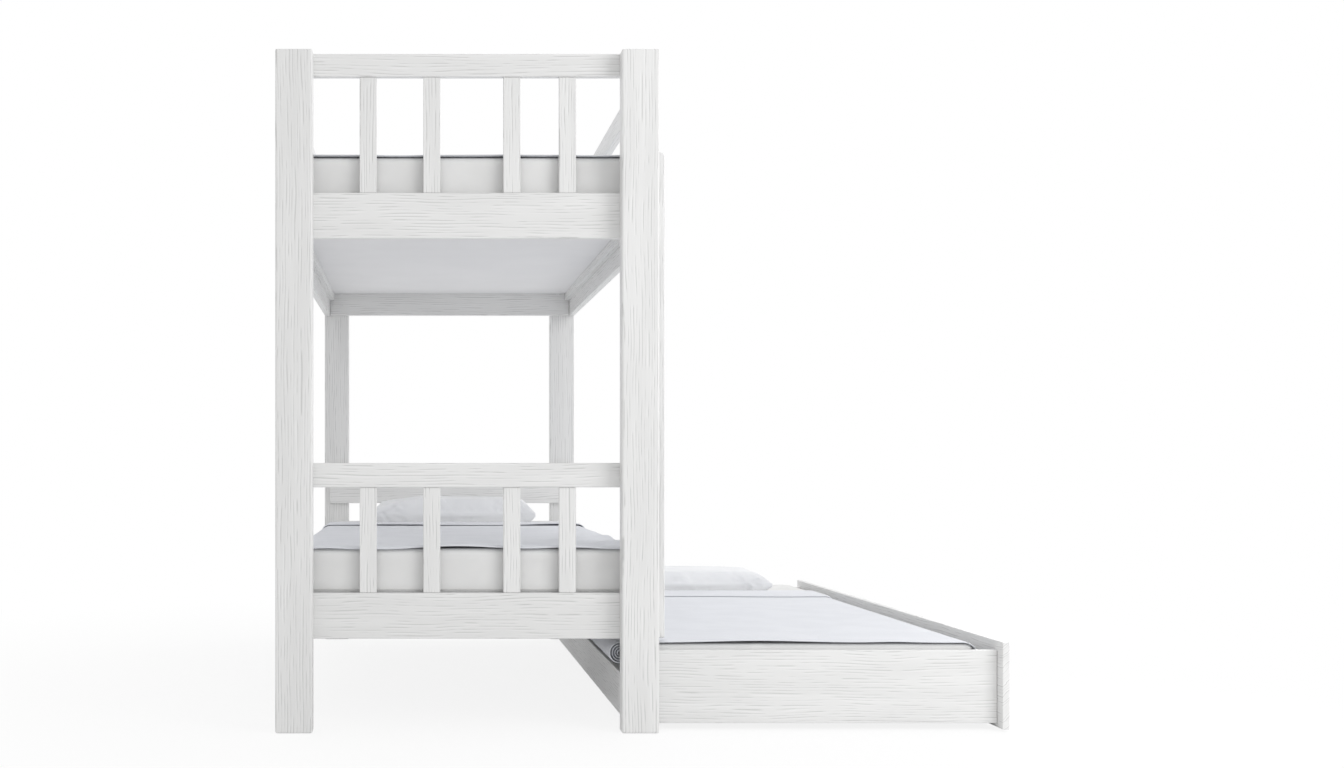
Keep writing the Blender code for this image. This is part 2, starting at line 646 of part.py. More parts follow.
def trundle_bedding(carrier):
    """The trundle's thinner mattress, with its cover curled over the back rail."""
    middle = (TRUNDLE_INNER_LEFT + TRUNDLE_INNER_RIGHT) / 2 - TRUNDLE_BEDDING_SHIFT
    mattress("trundle_mattress", middle, TRUNDLE_PLATFORM_TOP, TRUNDLE_MATTRESS_THICK,
             TRUNDLE_MATTRESS_CROWN, carrier)
    top = TRUNDLE_PLATFORM_TOP + TOUCH_GAP + TRUNDLE_MATTRESS_THICK
    tucked = middle + MATTRESS_WIDTH / 2 + TRUNDLE_COVER_TUCK_REACH
    section = cover_section(TRUNDLE_LEFT - TRUNDLE_COVER_OVERHANG, tucked, top + COVER_LIFT,
                            TRUNDLE_COVER_HANG, TRUNDLE_COVER_TUCK)
    cover("trundle_cover", section, middle, COVER_LENGTH,
          TRUNDLE_MATTRESS_CROWN, TRUNDLE_COVER_RIPPLE, carrier)
    pillow("trundle_pillow", middle, top, TRUNDLE_PILLOW_THICK,
           TRUNDLE_MATTRESS_CROWN, carrier)


def build():
    """Model the whole bed."""
    for end in ("foot", "head"):
        end_frame(end)
    side_rails()
    platforms()
    guard_rails()
    ladder()
    berth("upper", UPPER_PLATFORM_TOP)
    berth("lower", LOWER_PLATFORM_TOP)
    carrier = add_empty("trundle", in_row_frame(TRUNDLE_LEFT, BED_LENGTH / 2, 0))
    trundle_boards(carrier)
    trundle_bearers(carrier)
    casters(carrier)
    trundle_bedding(carrier)


build()
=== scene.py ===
# %% [markdown]
# # A white bunk bed with a trundle
# This lesson dresses a bunk bed that is already built as solid parts in CAD. The bed has four
# posts, two slatted berths, a side ladder and a trundle on small wheels. The timber keeps its
# CAD shapes and gets its finish here. The mattresses, covers and pillows are modelled as the
# soft things that they are, and the small fittings are added.

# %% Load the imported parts
import json
import math

import bmesh
import bpy
from mathutils import Matrix, Vector, noise


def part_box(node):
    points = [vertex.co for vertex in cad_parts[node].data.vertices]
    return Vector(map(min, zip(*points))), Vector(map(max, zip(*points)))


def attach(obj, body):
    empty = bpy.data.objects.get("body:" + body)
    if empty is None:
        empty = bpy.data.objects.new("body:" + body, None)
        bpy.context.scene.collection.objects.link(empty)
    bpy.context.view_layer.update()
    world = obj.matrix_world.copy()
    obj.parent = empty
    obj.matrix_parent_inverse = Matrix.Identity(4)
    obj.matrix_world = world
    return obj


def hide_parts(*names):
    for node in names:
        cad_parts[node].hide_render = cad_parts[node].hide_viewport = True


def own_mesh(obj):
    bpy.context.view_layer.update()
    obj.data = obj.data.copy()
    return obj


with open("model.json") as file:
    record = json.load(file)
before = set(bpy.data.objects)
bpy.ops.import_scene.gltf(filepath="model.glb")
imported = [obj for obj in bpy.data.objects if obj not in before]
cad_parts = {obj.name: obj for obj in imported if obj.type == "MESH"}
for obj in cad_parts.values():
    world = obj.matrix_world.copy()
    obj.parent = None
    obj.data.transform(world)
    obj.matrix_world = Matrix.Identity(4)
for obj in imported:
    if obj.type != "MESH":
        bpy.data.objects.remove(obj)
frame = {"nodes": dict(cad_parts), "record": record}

scene = bpy.context.scene
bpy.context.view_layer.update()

# %% Put things into the scene
def put(name, data):
    """An object in the scene for a camera, a lamp or a mesh."""
    made = bpy.data.objects.new(name, data)
    scene.collection.objects.link(made)
    return made


def put_shape(name, shape):
    """An object in the scene for a bmesh, which is freed."""
    mesh = bpy.data.meshes.new(name)
    shape.to_mesh(mesh)
    shape.free()
    return put(name, mesh)


# %% [markdown]
# ## Camera
# The photograph looks square on at the foot end, from seat height and a little left of the
# middle of the whole thing. All edges across the bed stay level and all edges along it run to
# one point, so the camera isn't turned or tilted. It is slid to its place, and the picture is
# shifted in the camera, as a view camera does, to bring the trundle into the frame.

# %% A level camera with a shifted picture
CAMERA_PLACE = (-0.5795, -4.725, 0.6857)
LENS_MM, SENSOR_MM = 38.88, 36
PICTURE_SHIFT = (0.190, 0.060)
camera_data = bpy.data.cameras.new("photo_camera")
camera = put("photo_camera", camera_data)
scene.camera = camera
camera.location = CAMERA_PLACE
camera.rotation_euler = (math.radians(90), 0, 0)
camera_data.sensor_width = SENSOR_MM
camera_data.lens = LENS_MM
camera_data.shift_x, camera_data.shift_y = PICTURE_SHIFT

# %% [markdown]
# ## Helpers for shader nodes
# An input of a shader node has a plain value or follows another node's output. One helper
# settles that, and each of the others makes one kind of node and gives back its main output.

# %% Nodes whose inputs are values or sockets
def feed(tree, node, name, value):
    """Give an input of a node a socket to follow or a plain value."""
    if isinstance(value, bpy.types.NodeSocket):
        tree.links.new(value, node.inputs[name])
    else:
        node.inputs[name].default_value = value


def add_node(tree, kind, **settings):
    """A shader node, with settings and inputs given by name."""
    made = tree.nodes.new(kind)
    for name, value in settings.items():
        if hasattr(made, name):
            setattr(made, name, value)
        else:
            feed(tree, made, name.replace("_", " "), value)
    return made


def math_node(tree, operation, *values, kind="ShaderNodeMath"):
    """A Math node."""
    made = add_node(tree, kind, operation=operation)
    for index, value in enumerate(values):
        feed(tree, made, index, value)
    return made.outputs[0]


def vector_node(tree, operation, *values):
    """A Vector Math node."""
    return math_node(tree, operation, *values, kind="ShaderNodeVectorMath")


def spread(tree, value, low, high, to_low=0.0, to_high=1.0):
    """A Map Range node with smooth ends."""
    return add_node(tree, "ShaderNodeMapRange", interpolation_type="SMOOTHSTEP", Value=value,
                    From_Min=low, From_Max=high, To_Min=to_low, To_Max=to_high).outputs["Result"]


def noise_node(tree, vector, scale, detail, roughness=0.5):
    """A Noise Texture on the given coordinates, as a number."""
    return add_node(tree, "ShaderNodeTexNoise", Vector=vector, Scale=scale, Detail=detail,
                    Roughness=roughness).outputs["Fac"]


def tint(tree, first, second, share):
    """A mix of two colours."""
    return add_node(tree, "ShaderNodeMix", data_type="RGBA", A=first, B=second,
                    Factor=share).outputs["Result"]


def place_on(tree):
    """The place on the object, in its own coordinates."""
    return tree.nodes.new("ShaderNodeTexCoord").outputs["Object"]


def new_material(name, **inputs):
    """A material, its tree and its Principled shader, with some inputs given."""
    material = bpy.data.materials.new(name)
    material.use_nodes = True
    surface = material.node_tree.nodes["Principled BSDF"]
    for label, value in inputs.items():
        feed(material.node_tree, surface, label.replace("_", " "), value)
    return material, material.node_tree, surface


def coat(tree, surface, colour, roughness, height, strength, distance=0.0002):
    """Give a surface its colour, its roughness and a relief that follows a height."""
    relief = add_node(tree, "ShaderNodeBump", Strength=strength, Distance=distance, Height=height)
    for name, value in (("Base Color", colour), ("Roughness", roughness),
                        ("Normal", relief.outputs[0])):
        feed(tree, surface, name, value)


# %% [markdown]
# ## Floor and light
# The real bed was photographed on white, with hardly a shadow. A bare white floor would turn
# grey away from the lamps, so the camera sees a floor that is partly a white glow, and the rest
# shows the bed's own shadow. The sky is white to the camera and in reflections, and a softer
# light for everything else. Three large lamps shape the bed, and a small one lifts the trundle's
# near right corner.

# %% White sky
SKY_LIGHT = 0.76
WHITE = (1, 1, 1, 1)


def seen_directly(tree):
    """1 for camera, mirror and glass rays, and 0 for the rays that light the object."""
    path = tree.nodes.new("ShaderNodeLightPath").outputs
    either = math_node(tree, "MAXIMUM", path["Is Camera Ray"], path["Is Glossy Ray"])
    return math_node(tree, "MAXIMUM", either, path["Is Transmission Ray"])


def mix_shaders(tree, output, share, first, second):
    """Mix two shaders by a share, and hand the result to the tree's output."""
    mix = tree.nodes.new("ShaderNodeMixShader")
    for index, value in enumerate((share, first.outputs[0], second.outputs[0])):
        feed(tree, mix, index, value)
    feed(tree, tree.nodes[output], "Surface", mix.outputs[0])


world = bpy.data.worlds.new("studio")
scene.world = world
world.use_nodes = True
sky = world.node_tree
soft_sky = sky.nodes["Background"]
feed(sky, soft_sky, "Color", WHITE)
feed(sky, soft_sky, "Strength", SKY_LIGHT)
white_sky = add_node(sky, "ShaderNodeBackground", Color=WHITE, Strength=1)
mix_shaders(sky, "World Output", seen_directly(sky), soft_sky, white_sky)
scene.view_settings.view_transform = "Standard"
print("sky: white to look at, and", SKY_LIGHT, "as light")

# %% White floor
FLOOR_HALF, FLOOR_GREY = 40, (0.93, 0.93, 0.93, 1)
FLOOR_GLOW, SHADOW_FADES = 0.86, (1.2, 3.2)
floor_shape = bmesh.new()
bmesh.ops.create_grid(floor_shape, x_segments=1, y_segments=1, size=FLOOR_HALF)
floor = put_shape("studio_floor", floor_shape)
floor_material, floor_tree, floor_surface = new_material(
    "studio_floor", Base_Color=FLOOR_GREY, Roughness=1, Specular_IOR_Level=0)
floor_glow = add_node(floor_tree, "ShaderNodeEmission", Color=WHITE, Strength=1)
reach = add_node(floor_tree, "ShaderNodeVectorMath", operation="LENGTH",
                 Vector=place_on(floor_tree)).outputs["Value"]
glow_share = math_node(floor_tree, "MULTIPLY", seen_directly(floor_tree),
                       spread(floor_tree, reach, *SHADOW_FADES, FLOOR_GLOW, 1))
mix_shaders(floor_tree, "Material Output", glow_share, floor_surface, floor_glow)
floor.data.materials.append(floor_material)
print("floor:", 2 * FLOOR_HALF, "m wide, glowing fully from", SHADOW_FADES[1], "m on")

# %% Lamps
FILL_PLACE, FILL_WATTS = (1.30, -0.95, 2.40), 26
FILL_SIZE, FILL_CONE = 0.30, math.radians(38)


def hang(name, kind, place, watts, **settings):
    """A lamp at its place, which shines straight down until it is turned."""
    light = bpy.data.lights.new(name, kind)
    for setting, value in settings.items():
        setattr(light, setting, value)
    light.energy = watts
    holder = put(name, light)
    holder.location = place
    return holder


def soft_lamp(name, place, towards, size, watts):
    """A square soft lamp that shines towards a point."""
    holder = hang(name, "AREA", place, watts, shape="RECTANGLE", size=size, size_y=size)
    aim = Vector(towards) - Vector(place)
    holder.rotation_euler = aim.to_track_quat("-Z", "Y").to_euler()
    print(name, "shines from", round(aim.length, 1), "m away")


soft_lamp("key_lamp", (2.1, -3.2, 2.1), (-0.1, -0.6, 0.9), 1.8, 37)
soft_lamp("back_lamp", (3.2, 3.0, 1.6), (0.0, 0.8, 0.9), 2.5, 42)
soft_lamp("top_lamp", (0.6, 0.6, 4.2), (0.3, 0.2, 0.3), 3.0, 26)
hang("trundle_fill", "SPOT", FILL_PLACE, FILL_WATTS, shadow_soft_size=FILL_SIZE,
     spot_size=FILL_CONE, spot_blend=1)
print("trundle_fill softly lights the trundle's near right corner")

# %% [markdown]
# ## Wood-grain foil
# The real boards are covered with white foil that has wood grain pressed into it: thin, slightly
# wavy lines that start and stop. Lighter lines between them, a little to one side of each groove,
# are a painted highlight where the lit side of the pressed groove would be. Here the distance
# across the board, pushed about by a noise, is folded into numbered lines, and each number gets
# a noise of its own that breaks its line into dashes. All of it sits in one node group.

# %% The group's sockets, and the wavy coordinates
LINE_SPACING, LINE_LENGTH, WAVINESS = 0.0080, 0.080, 0.019
BEND_STRETCH, BEND_SCALE = (1, 1, 0.35), 7


def group_sockets(group, inputs, outputs):
    """Name a node group's inputs, a vector and numbers, and its outputs."""
    group.interface.new_socket("Vector", in_out="INPUT", socket_type="NodeSocketVector")
    for name, value in inputs.items():
        socket = group.interface.new_socket(name, in_out="INPUT", socket_type="NodeSocketFloat")
        socket.default_value = value
    for name in outputs:
        group.interface.new_socket(name, in_out="OUTPUT", socket_type="NodeSocketFloat")
    return group.nodes.new("NodeGroupInput").outputs, group.nodes.new("NodeGroupOutput")


# The second output is a painted highlight beside each groove, not a colour of the foil.
GRAIN_OUTPUTS = ("Grooves", "Crest Highlights", "Bands", "Height")
grain = bpy.data.node_groups.new("pressed_grain", "ShaderNodeTree")
given, grain_out = group_sockets(
    grain, {"Line Spacing": LINE_SPACING, "Line Length": LINE_LENGTH, "Waviness": WAVINESS},
    GRAIN_OUTPUTS)
slow_place = vector_node(grain, "MULTIPLY", given["Vector"], BEND_STRETCH)
push = add_node(grain, "ShaderNodeTexNoise", Vector=slow_place, Scale=BEND_SCALE, Detail=2,
                Roughness=0.5).outputs["Color"]
push = vector_node(grain, "SUBTRACT", push, (0.5, 0.5, 0.5))
push_size = add_node(grain, "ShaderNodeCombineXYZ", X=given["Waviness"], Y=given["Waviness"])
wavy = vector_node(grain, "MULTIPLY_ADD", push, push_size.outputs[0], given["Vector"])
per_spacing = math_node(grain, "DIVIDE", 1.0, given["Line Spacing"])
per_length = math_node(grain, "DIVIDE", 1.0, given["Line Length"])
stretch = add_node(grain, "ShaderNodeCombineXYZ", X=per_spacing, Y=per_spacing, Z=per_length)
fibres = vector_node(grain, "MULTIPLY", wavy, stretch.outputs[0])
places = add_node(grain, "ShaderNodeSeparateXYZ", Vector=fibres).outputs
print("coordinates:", len(grain.nodes), "nodes")

# %% Lines, dashes and relief
UNEVEN_STRETCH, UNEVENNESS = (0.40, 0.40, 0.22), 1.5
NOISE_STEP = 5.37
DASH_SOFTNESS, LINE_CORE = 0.16, 0.35
GROOVE_WIDTH, GROOVE_SHARE = 0.14, 0.43
# The lines set here are a painted highlight: lighter dashes on the lit side beside each groove.
HIGHLIGHT_SHIFT, HIGHLIGHT_WIDTH, HIGHLIGHT_SHARE = 0.38, 0.20, 0.42
HAZE_STRETCH, HAZE_HEIGHT, GROOVE_DEPTH = (1.9, 1.9, 0.8), 0.35, 0.25
BAND_SCALE = 0.20


def dashes(lines, shift, width, share):
    """Thin lines along the grain, each of them broken into dashes of its own."""
    moved = math_node(grain, "ADD", lines, shift)
    nearness = math_node(grain, "PINGPONG", moved, 0.5)
    own_place = math_node(grain, "MULTIPLY", math_node(grain, "ROUND", moved), NOISE_STEP)
    own = add_node(grain, "ShaderNodeCombineXYZ", X=own_place, Z=places["Z"]).outputs[0]
    drawn = spread(grain, noise_node(grain, own, 1.0, 1.5), share, share + DASH_SOFTNESS)
    return math_node(grain, "MULTIPLY", spread(grain, nearness, width, width * LINE_CORE), drawn)


across = math_node(grain, "ADD", places["X"], places["Y"])
unequal = noise_node(grain, vector_node(grain, "MULTIPLY", fibres, UNEVEN_STRETCH), 1.0, 1.0)
lines = math_node(grain, "ADD", across, math_node(grain, "MULTIPLY", unequal, UNEVENNESS))
grooves = dashes(lines, 0.0, GROOVE_WIDTH, GROOVE_SHARE)
# A painted highlight: the grain lines shifted to the lit side of each groove.
crest_highlights = dashes(lines, HIGHLIGHT_SHIFT, HIGHLIGHT_WIDTH, HIGHLIGHT_SHARE)
haze = noise_node(grain, vector_node(grain, "MULTIPLY", fibres, HAZE_STRETCH), 1.0, 2.0, 0.55)
height = math_node(grain, "SUBTRACT", math_node(grain, "MULTIPLY", haze, HAZE_HEIGHT),
                   math_node(grain, "MULTIPLY", grooves, GROOVE_DEPTH))
bands = noise_node(grain, fibres, BAND_SCALE, 2)
for name, value in zip(GRAIN_OUTPUTS, (grooves, crest_highlights, bands, height)):
    feed(grain, grain_out, name, value)
print("grain group:", len(grain.nodes), "nodes")

# %% [markdown]
# ## Three directions of one foil
# A board's grain runs along its length: upright on a post, across the bed on a beam and along
# the bed on a side rail. The same material is made three times, each with its own turn.

# %% The foil materials
# White foil, the colour of its grain lines, and a painted highlight for the lit side beside each
# groove; the tones say how strongly each of them is mixed in.
FOIL_WHITE = (0.80, 0.80, 0.795, 1)
FOIL_SHADE = (0.56, 0.56, 0.555, 1)
FOIL_HIGHLIGHT = (0.88, 0.88, 0.88, 1)
GROOVE_TONE, CREST_HIGHLIGHT_TONE, CLOUD_TONE = 0.80, 0.60, 0.14
GRAIN_TURNS = {"upright": (0, 0, 0), "across": (0, math.radians(90), 0),
               "along": (math.radians(90), 0, 0)}


def foil(direction):
    """White foil with its grain along one of the bed's three directions."""
    material, tree, surface = new_material(f"grained_foil_{direction}")
    turned = add_node(tree, "ShaderNodeMapping", Vector=place_on(tree),
                      Rotation=GRAIN_TURNS[direction]).outputs[0]
    pattern = add_node(tree, "ShaderNodeGroup", node_tree=grain, Vector=turned).outputs
    dark = math_node(tree, "MULTIPLY", pattern["Grooves"], GROOVE_TONE)
    # A painted highlight: lighter lines on the lit side beside each groove.
    light = math_node(tree, "MULTIPLY", pattern["Crest Highlights"], CREST_HIGHLIGHT_TONE)
    lined = tint(tree, tint(tree, FOIL_WHITE, FOIL_SHADE, dark), FOIL_HIGHLIGHT, light)
    cloudy = spread(tree, pattern["Bands"], 0.35, 0.65, 0, CLOUD_TONE)
    coat(tree, surface, tint(tree, lined, FOIL_SHADE, cloudy),
         spread(tree, pattern["Grooves"], 0, 1, 0.42, 0.60), pattern["Height"], 0.7, 0.0012)
    return material


foils = {direction: foil(direction) for direction in GRAIN_TURNS}
print("foils:", sorted(foils))

# %% Which way the grain runs on each board
UPRIGHT = ("post_", "foot_upper_slat", "foot_lower_slat", "ladder_stile", "guard_support")
ALONG = ("side_", "guard_rail", "ladder_rung", "trundle_front_panel", "trundle_back_rail")
wooden = {entry["node"] for entry in frame["record"]["subparts"]
          if entry["material_slot"] == "white_grained_wood"}


def grain_direction(node):
    """The direction of the grain on a board, from its name."""
    if node.startswith(UPRIGHT):
        return "upright"
    return "along" if node.startswith(ALONG) else "across"


def dress(node, material):
    """Give a CAD part its finish by way of its object's material slot."""
    part = frame["nodes"][node]
    part.material_slots[0].link = "OBJECT"
    part.material_slots[0].material = material


for board in sorted(wooden):
    dress(board, foils[grain_direction(board)])
print("boards with foil:", len(wooden))

# %% [markdown]
# ## Platform boards
# The mattresses lie on smooth white fibreboard, and the upper one shows from below. It has no
# grain, only the faint cloudiness of a painted sheet, so one broad noise and a very fine one
# are enough.

# %% The smooth board material
def speckled(name, light, dark, gloss, grain_size, bump, cloud_size=60, metallic=0.0):
    """A hard surface whose tone and roughness change a little from place to place."""
    material, tree, surface = new_material(name, Metallic=metallic)
    place = place_on(tree)
    clouds = noise_node(tree, place, cloud_size, 3)
    coat(tree, surface, tint(tree, (*light, 1), (*dark, 1), clouds),
         spread(tree, clouds, 0.3, 0.7, *gloss), noise_node(tree, place, grain_size, 2), bump)
    return material


smooth_board = speckled("smooth_white_board", (0.85, 0.85, 0.86), (0.81, 0.81, 0.82), (0.52, 0.62),
                        900, 0.25, 6)
PLATFORMS = ("upper_platform", "lower_platform", "trundle_platform")
for platform in PLATFORMS:
    dress(platform, smooth_board)
print("platforms with smooth board:", len(PLATFORMS))

# %% [markdown]
# ## Woven cloth
# The mattresses' ticking, the covers and the pillowcases are plain weaves of different fineness.
# Two sine waves at right angles draw the threads that pass over and under each other. The cloth
# pieces have a UV map in metres, laid out as the flat cloth was, so the threads bend with every
# fold. The same group adds slow tone changes.

# %% The weave as a node group
weave = bpy.data.node_groups.new("plain_weave", "ShaderNodeTree")
given, weave_out = group_sockets(weave, {"Thread Spacing": 0.001, "Slub": 0.5},
                                 ("Height", "Tone"))
spacing = dict.fromkeys("XYZ", given["Thread Spacing"])
spacing = add_node(weave, "ShaderNodeCombineXYZ", **spacing).outputs[0]
threads = vector_node(weave, "DIVIDE", given["Vector"], spacing)
thread_axes = add_node(weave, "ShaderNodeSeparateXYZ", Vector=threads).outputs
warp, weft = (math_node(weave, "SINE", math_node(weave, "MULTIPLY", thread_axes[axis], math.pi))
              for axis in "XY")
slubs = math_node(weave, "MULTIPLY", noise_node(weave, given["Vector"], 140, 3), given["Slub"])
crossing = math_node(weave, "MULTIPLY", warp, weft)
feed(weave, weave_out, "Height", math_node(weave, "ADD", crossing, slubs))
feed(weave, weave_out, "Tone", noise_node(weave, given["Vector"], 9, 3))
print("weave group:", len(weave.nodes), "nodes")

# %% Cloth materials
def cloth(name, light, shade, spacing, bump):
    """Cotton cloth that follows the piece's flat layout, with a soft sheen."""
    material, tree, surface = new_material(name, Sheen_Weight=0.15, Sheen_Roughness=0.4,
                                           Specular_IOR_Level=0.25)
    layout = add_node(tree, "ShaderNodeUVMap", uv_map="flat_cloth").outputs[0]
    woven = add_node(tree, "ShaderNodeGroup", node_tree=weave, Thread_Spacing=spacing,
                     Vector=layout).outputs
    tone = spread(tree, woven["Tone"], 0.35, 0.65)
    coat(tree, surface, tint(tree, (*light, 1), (*shade, 1), tone), 0.92, woven["Height"], bump)
    return material


ticking = cloth("mattress_ticking", (0.785, 0.785, 0.78), (0.755, 0.755, 0.75), 0.0009, 0.35)
quilt_cotton = cloth("cover_cotton", (0.765, 0.78, 0.82), (0.74, 0.755, 0.795), 0.0006, 0.30)
pillow_cotton = cloth("pillow_cotton", (0.875, 0.883, 0.90), (0.845, 0.853, 0.873), 0.0005, 0.25)
seam_tape = cloth("seam_tape", (0.72, 0.72, 0.71), (0.68, 0.68, 0.67), 0.0012, 0.6)
print("cloths: 4")

# %% [markdown]
# ## Helpers for new pieces
# Every new piece is made in a bmesh, in its final place, and rides on one of the bed's bodies:
# the fixed frame, the trundle or a wheel.

# %% Put a finished shape into the scene
def add_piece(name, shape, body, material, smooth_angle=None):
    """Turn a bmesh into a piece of the bed."""
    piece = put_shape(name, shape)
    piece.data.materials.append(material)
    piece.data.shade_smooth()
    if smooth_angle is not None:
        piece.data.set_sharp_from_angle(angle=math.radians(smooth_angle))
    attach(piece, body)
    return piece


def box_uv(shape):
    """A UV map in metres, seen along each face's main direction."""
    layer = shape.loops.layers.uv.new("flat_cloth")
    for face in shape.faces:
        main = max(range(3), key=lambda axis: abs(face.normal[axis]))
        across, up = [axis for axis in range(3) if axis != main]
        for loop in face.loops:
            loop[layer].uv = (loop.vert.co[across], loop.vert.co[up])


def add_solid(name, shape, body, material, smooth_angle=None):
    """Turn a closed bmesh into a piece, with faces outward and a UV map."""
    bmesh.ops.recalc_face_normals(shape, faces=shape.faces)
    box_uv(shape)
    return add_piece(name, shape, body, material, smooth_angle)


def slab(size):
    """A box round the origin."""
    shape = bmesh.new()
    bmesh.ops.create_cube(shape, size=1)
    bmesh.ops.scale(shape, vec=size, verts=shape.verts)
    return shape


def cut_evenly(shape, halves, counts):
    """Cut a shape round the origin into even steps across its axes."""
    for axis, (half, count) in enumerate(zip(halves, counts)):
        normal = Vector((0, 0, 0))
        normal[axis] = 1
        for step in range(1, count):
            place = -half + 2 * half * step / count
            bmesh.ops.bisect_plane(shape, geom=shape.verts[:] + shape.edges[:] + shape.faces[:],
                                   plane_co=normal * place, plane_no=normal)


def round_edges(shape, edges, offset, segments):
    """Bevel some edges of a shape to a round profile."""
    return bmesh.ops.bevel(shape, geom=edges, offset=offset, segments=segments, profile=0.5,
                           affect="EDGES", material=-1)["verts"]


# %% [markdown]
# ## Mattresses
# A mattress is a slab of foam in a sewn ticking case. Its top has a slight crown, its corners
# are round, and its sides give a little in slow waves. A cube is bevelled first, while it has
# few edges, then cut into a grid that is fine enough to bend, and its points are moved.

# %% The mattress case
CORNER_ROUND, EDGE_ROUND = 0.032, 0.016
CORNER_SEGMENTS, EDGE_SEGMENTS = 5, 4
UNCUT_MARGIN, GRID_CUTS = 0.05, (28, 56, 6)
SIDE_GIVE, SIDE_WAVE = 0.0035, 0.0012
SHORT_WAVE, LONG_WAVE, LONG_WAVE_SHARE = 31, 13, 0.6
GIVE_REACH, BOTH_SIDES = 0.03, 0.98
MATTRESS_PLAY = 0.010
crown_of = {"upper_mattress": 0.004, "lower_mattress": 0.004, "trundle_mattress": 0.0015}


def mattress_box(node):
    """A mattress' CAD box, drawn in a little at the trundle's front panel."""
    low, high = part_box(node)
    high.x -= MATTRESS_PLAY if node == "trundle_mattress" else 0
    return low, high


def rounded_slab(size):
    """A box with round corners and edges, cut into a grid that can be bent."""
    shape = slab(size)
    uprights = [edge for edge in shape.edges
                if abs(edge.verts[0].co.z - edge.verts[1].co.z) > size.z / 2]
    round_edges(shape, uprights, CORNER_ROUND, CORNER_SEGMENTS)
    rims = [edge for edge in shape.edges if abs(edge.verts[0].co.z - edge.verts[1].co.z) < 1e-5
            and len(edge.link_faces) == 2 and abs(edge.calc_face_angle()) > 1]
    round_edges(shape, rims, EDGE_ROUND, EDGE_SEGMENTS)
    flat = Vector((size.x / 2 - UNCUT_MARGIN, size.y / 2 - UNCUT_MARGIN, size.z / 2 - EDGE_ROUND))
    cut_evenly(shape, flat, GRID_CUTS)
    return shape, flat


def mattress_case(node, body, phase):
    """A crowned, rounded mattress in the space of its CAD solid."""
    low, high = mattress_box(node)
    size = high - low
    shape, flat = rounded_slab(size)
    for vert in shape.verts:
        x, y, z = vert.co
        across, along = abs(2 * x / size.x), abs(2 * y / size.y)
        level = max(-1, min(1, z / flat.z))
        if level > 0:
            drop = 1 - (1 - across ** 2) * (1 - along ** 2)
            vert.co.z -= crown_of[node] * level * drop
        past_rim = max(across * size.x - size.x, along * size.y - size.y) / 2
        edge = max(0, min(1, (past_rim + GIVE_REACH) / GIVE_REACH))
        around = x if along > across else y
        wave = math.sin(around * SHORT_WAVE + phase)
        wave += LONG_WAVE_SHARE * math.sin(around * LONG_WAVE + 2 * phase)
        pull = (1 - level ** 2) * edge * (SIDE_GIVE + SIDE_WAVE * wave)
        outward = Vector((x if across >= along * BOTH_SIDES else 0,
                          y if along >= across * BOTH_SIDES else 0, 0))
        if outward.length:
            vert.co -= outward.normalized() * pull
    bmesh.ops.translate(shape, vec=(low + high) / 2, verts=shape.verts)
    piece = add_solid(f"{node}_case", shape, body, ticking)
    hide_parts(node)
    print(node, [round(v, 3) for v in size])
    return piece


mattress_cases = {
    "upper": mattress_case("upper_mattress", "bed_frame", 0.4),
    "lower": mattress_case("lower_mattress", "bed_frame", 2.1),
    "trundle": mattress_case("trundle_mattress", "trundle", 3.6)}

# %% [markdown]
# ## Covers
# Each mattress has a thin cotton cover that hangs down a little at both sides and is turned back
# on itself in front of the pillow. Its foot hem is lifted in slow waves. On the trundle, the left
# side curls in a roll over the back rail. The cover is one cloth, so it is one grid: its columns
# follow a bent line across the bed, its rows run from the foot hem to the fold and back again,
# and every point is placed by how far along the flat cloth it is. A simulation would settle the
# cloth too, but here the exact place of each hem matters more.

# %% A bent line across the bed
CLOTH_STEP, DROP_STEP = 0.0125, 0.008
DROP_TURN, RIGHT_TURN = 0.022, 0.036
ROLL_HEART, ROLL_PITCH, ROLL_STEPS, ROLL_END = 0.005, 0.0066, 20, 0.004
LEFT, UP, RIGHT = Vector((-1, 0, 0)), Vector((0, 0, 1)), Vector((1, 0, 0))


def arc(centre, radius, start, end, steps):
    """Points on an arc in the x-z plane, with the outward direction at each of them."""
    made = []
    for step in range(steps + 1):
        angle = math.radians(start + (end - start) * step / steps)
        away = Vector((math.cos(angle), 0, math.sin(angle)))
        made.append((Vector((centre[0], 0, centre[1])) + away * radius, away))
    return made


def straight(start, end, away, spacing):
    """Points on a straight line in the x-z plane, without its two ends."""
    a, b = Vector((start[0], 0, start[1])), Vector((end[0], 0, end[1]))
    count = max(1, round((b - a).length / spacing))
    return [(a.lerp(b, step / count), away) for step in range(1, count)]


def draped_line(left, right, top, left_drop, right_drop, right_turn=DROP_TURN):
    """Up the left side, across the top, and down over the right edge."""
    shoulder = top - DROP_TURN
    line = [(Vector((left, 0, shoulder - left_drop)), LEFT)]
    line += straight((left, shoulder - left_drop), (left, shoulder), LEFT, DROP_STEP)
    line += arc((left + DROP_TURN, shoulder), DROP_TURN, 180, 90, 5)
    line += straight((left + DROP_TURN, top), (right - right_turn, top), UP, CLOTH_STEP)
    shoulder = top - right_turn
    line += arc((right - right_turn, shoulder), right_turn, 90, 0, 6)
    line += straight((right, shoulder), (right, shoulder - right_drop), RIGHT, DROP_STEP)
    line.append((Vector((right, 0, shoulder - right_drop)), RIGHT))
    return line


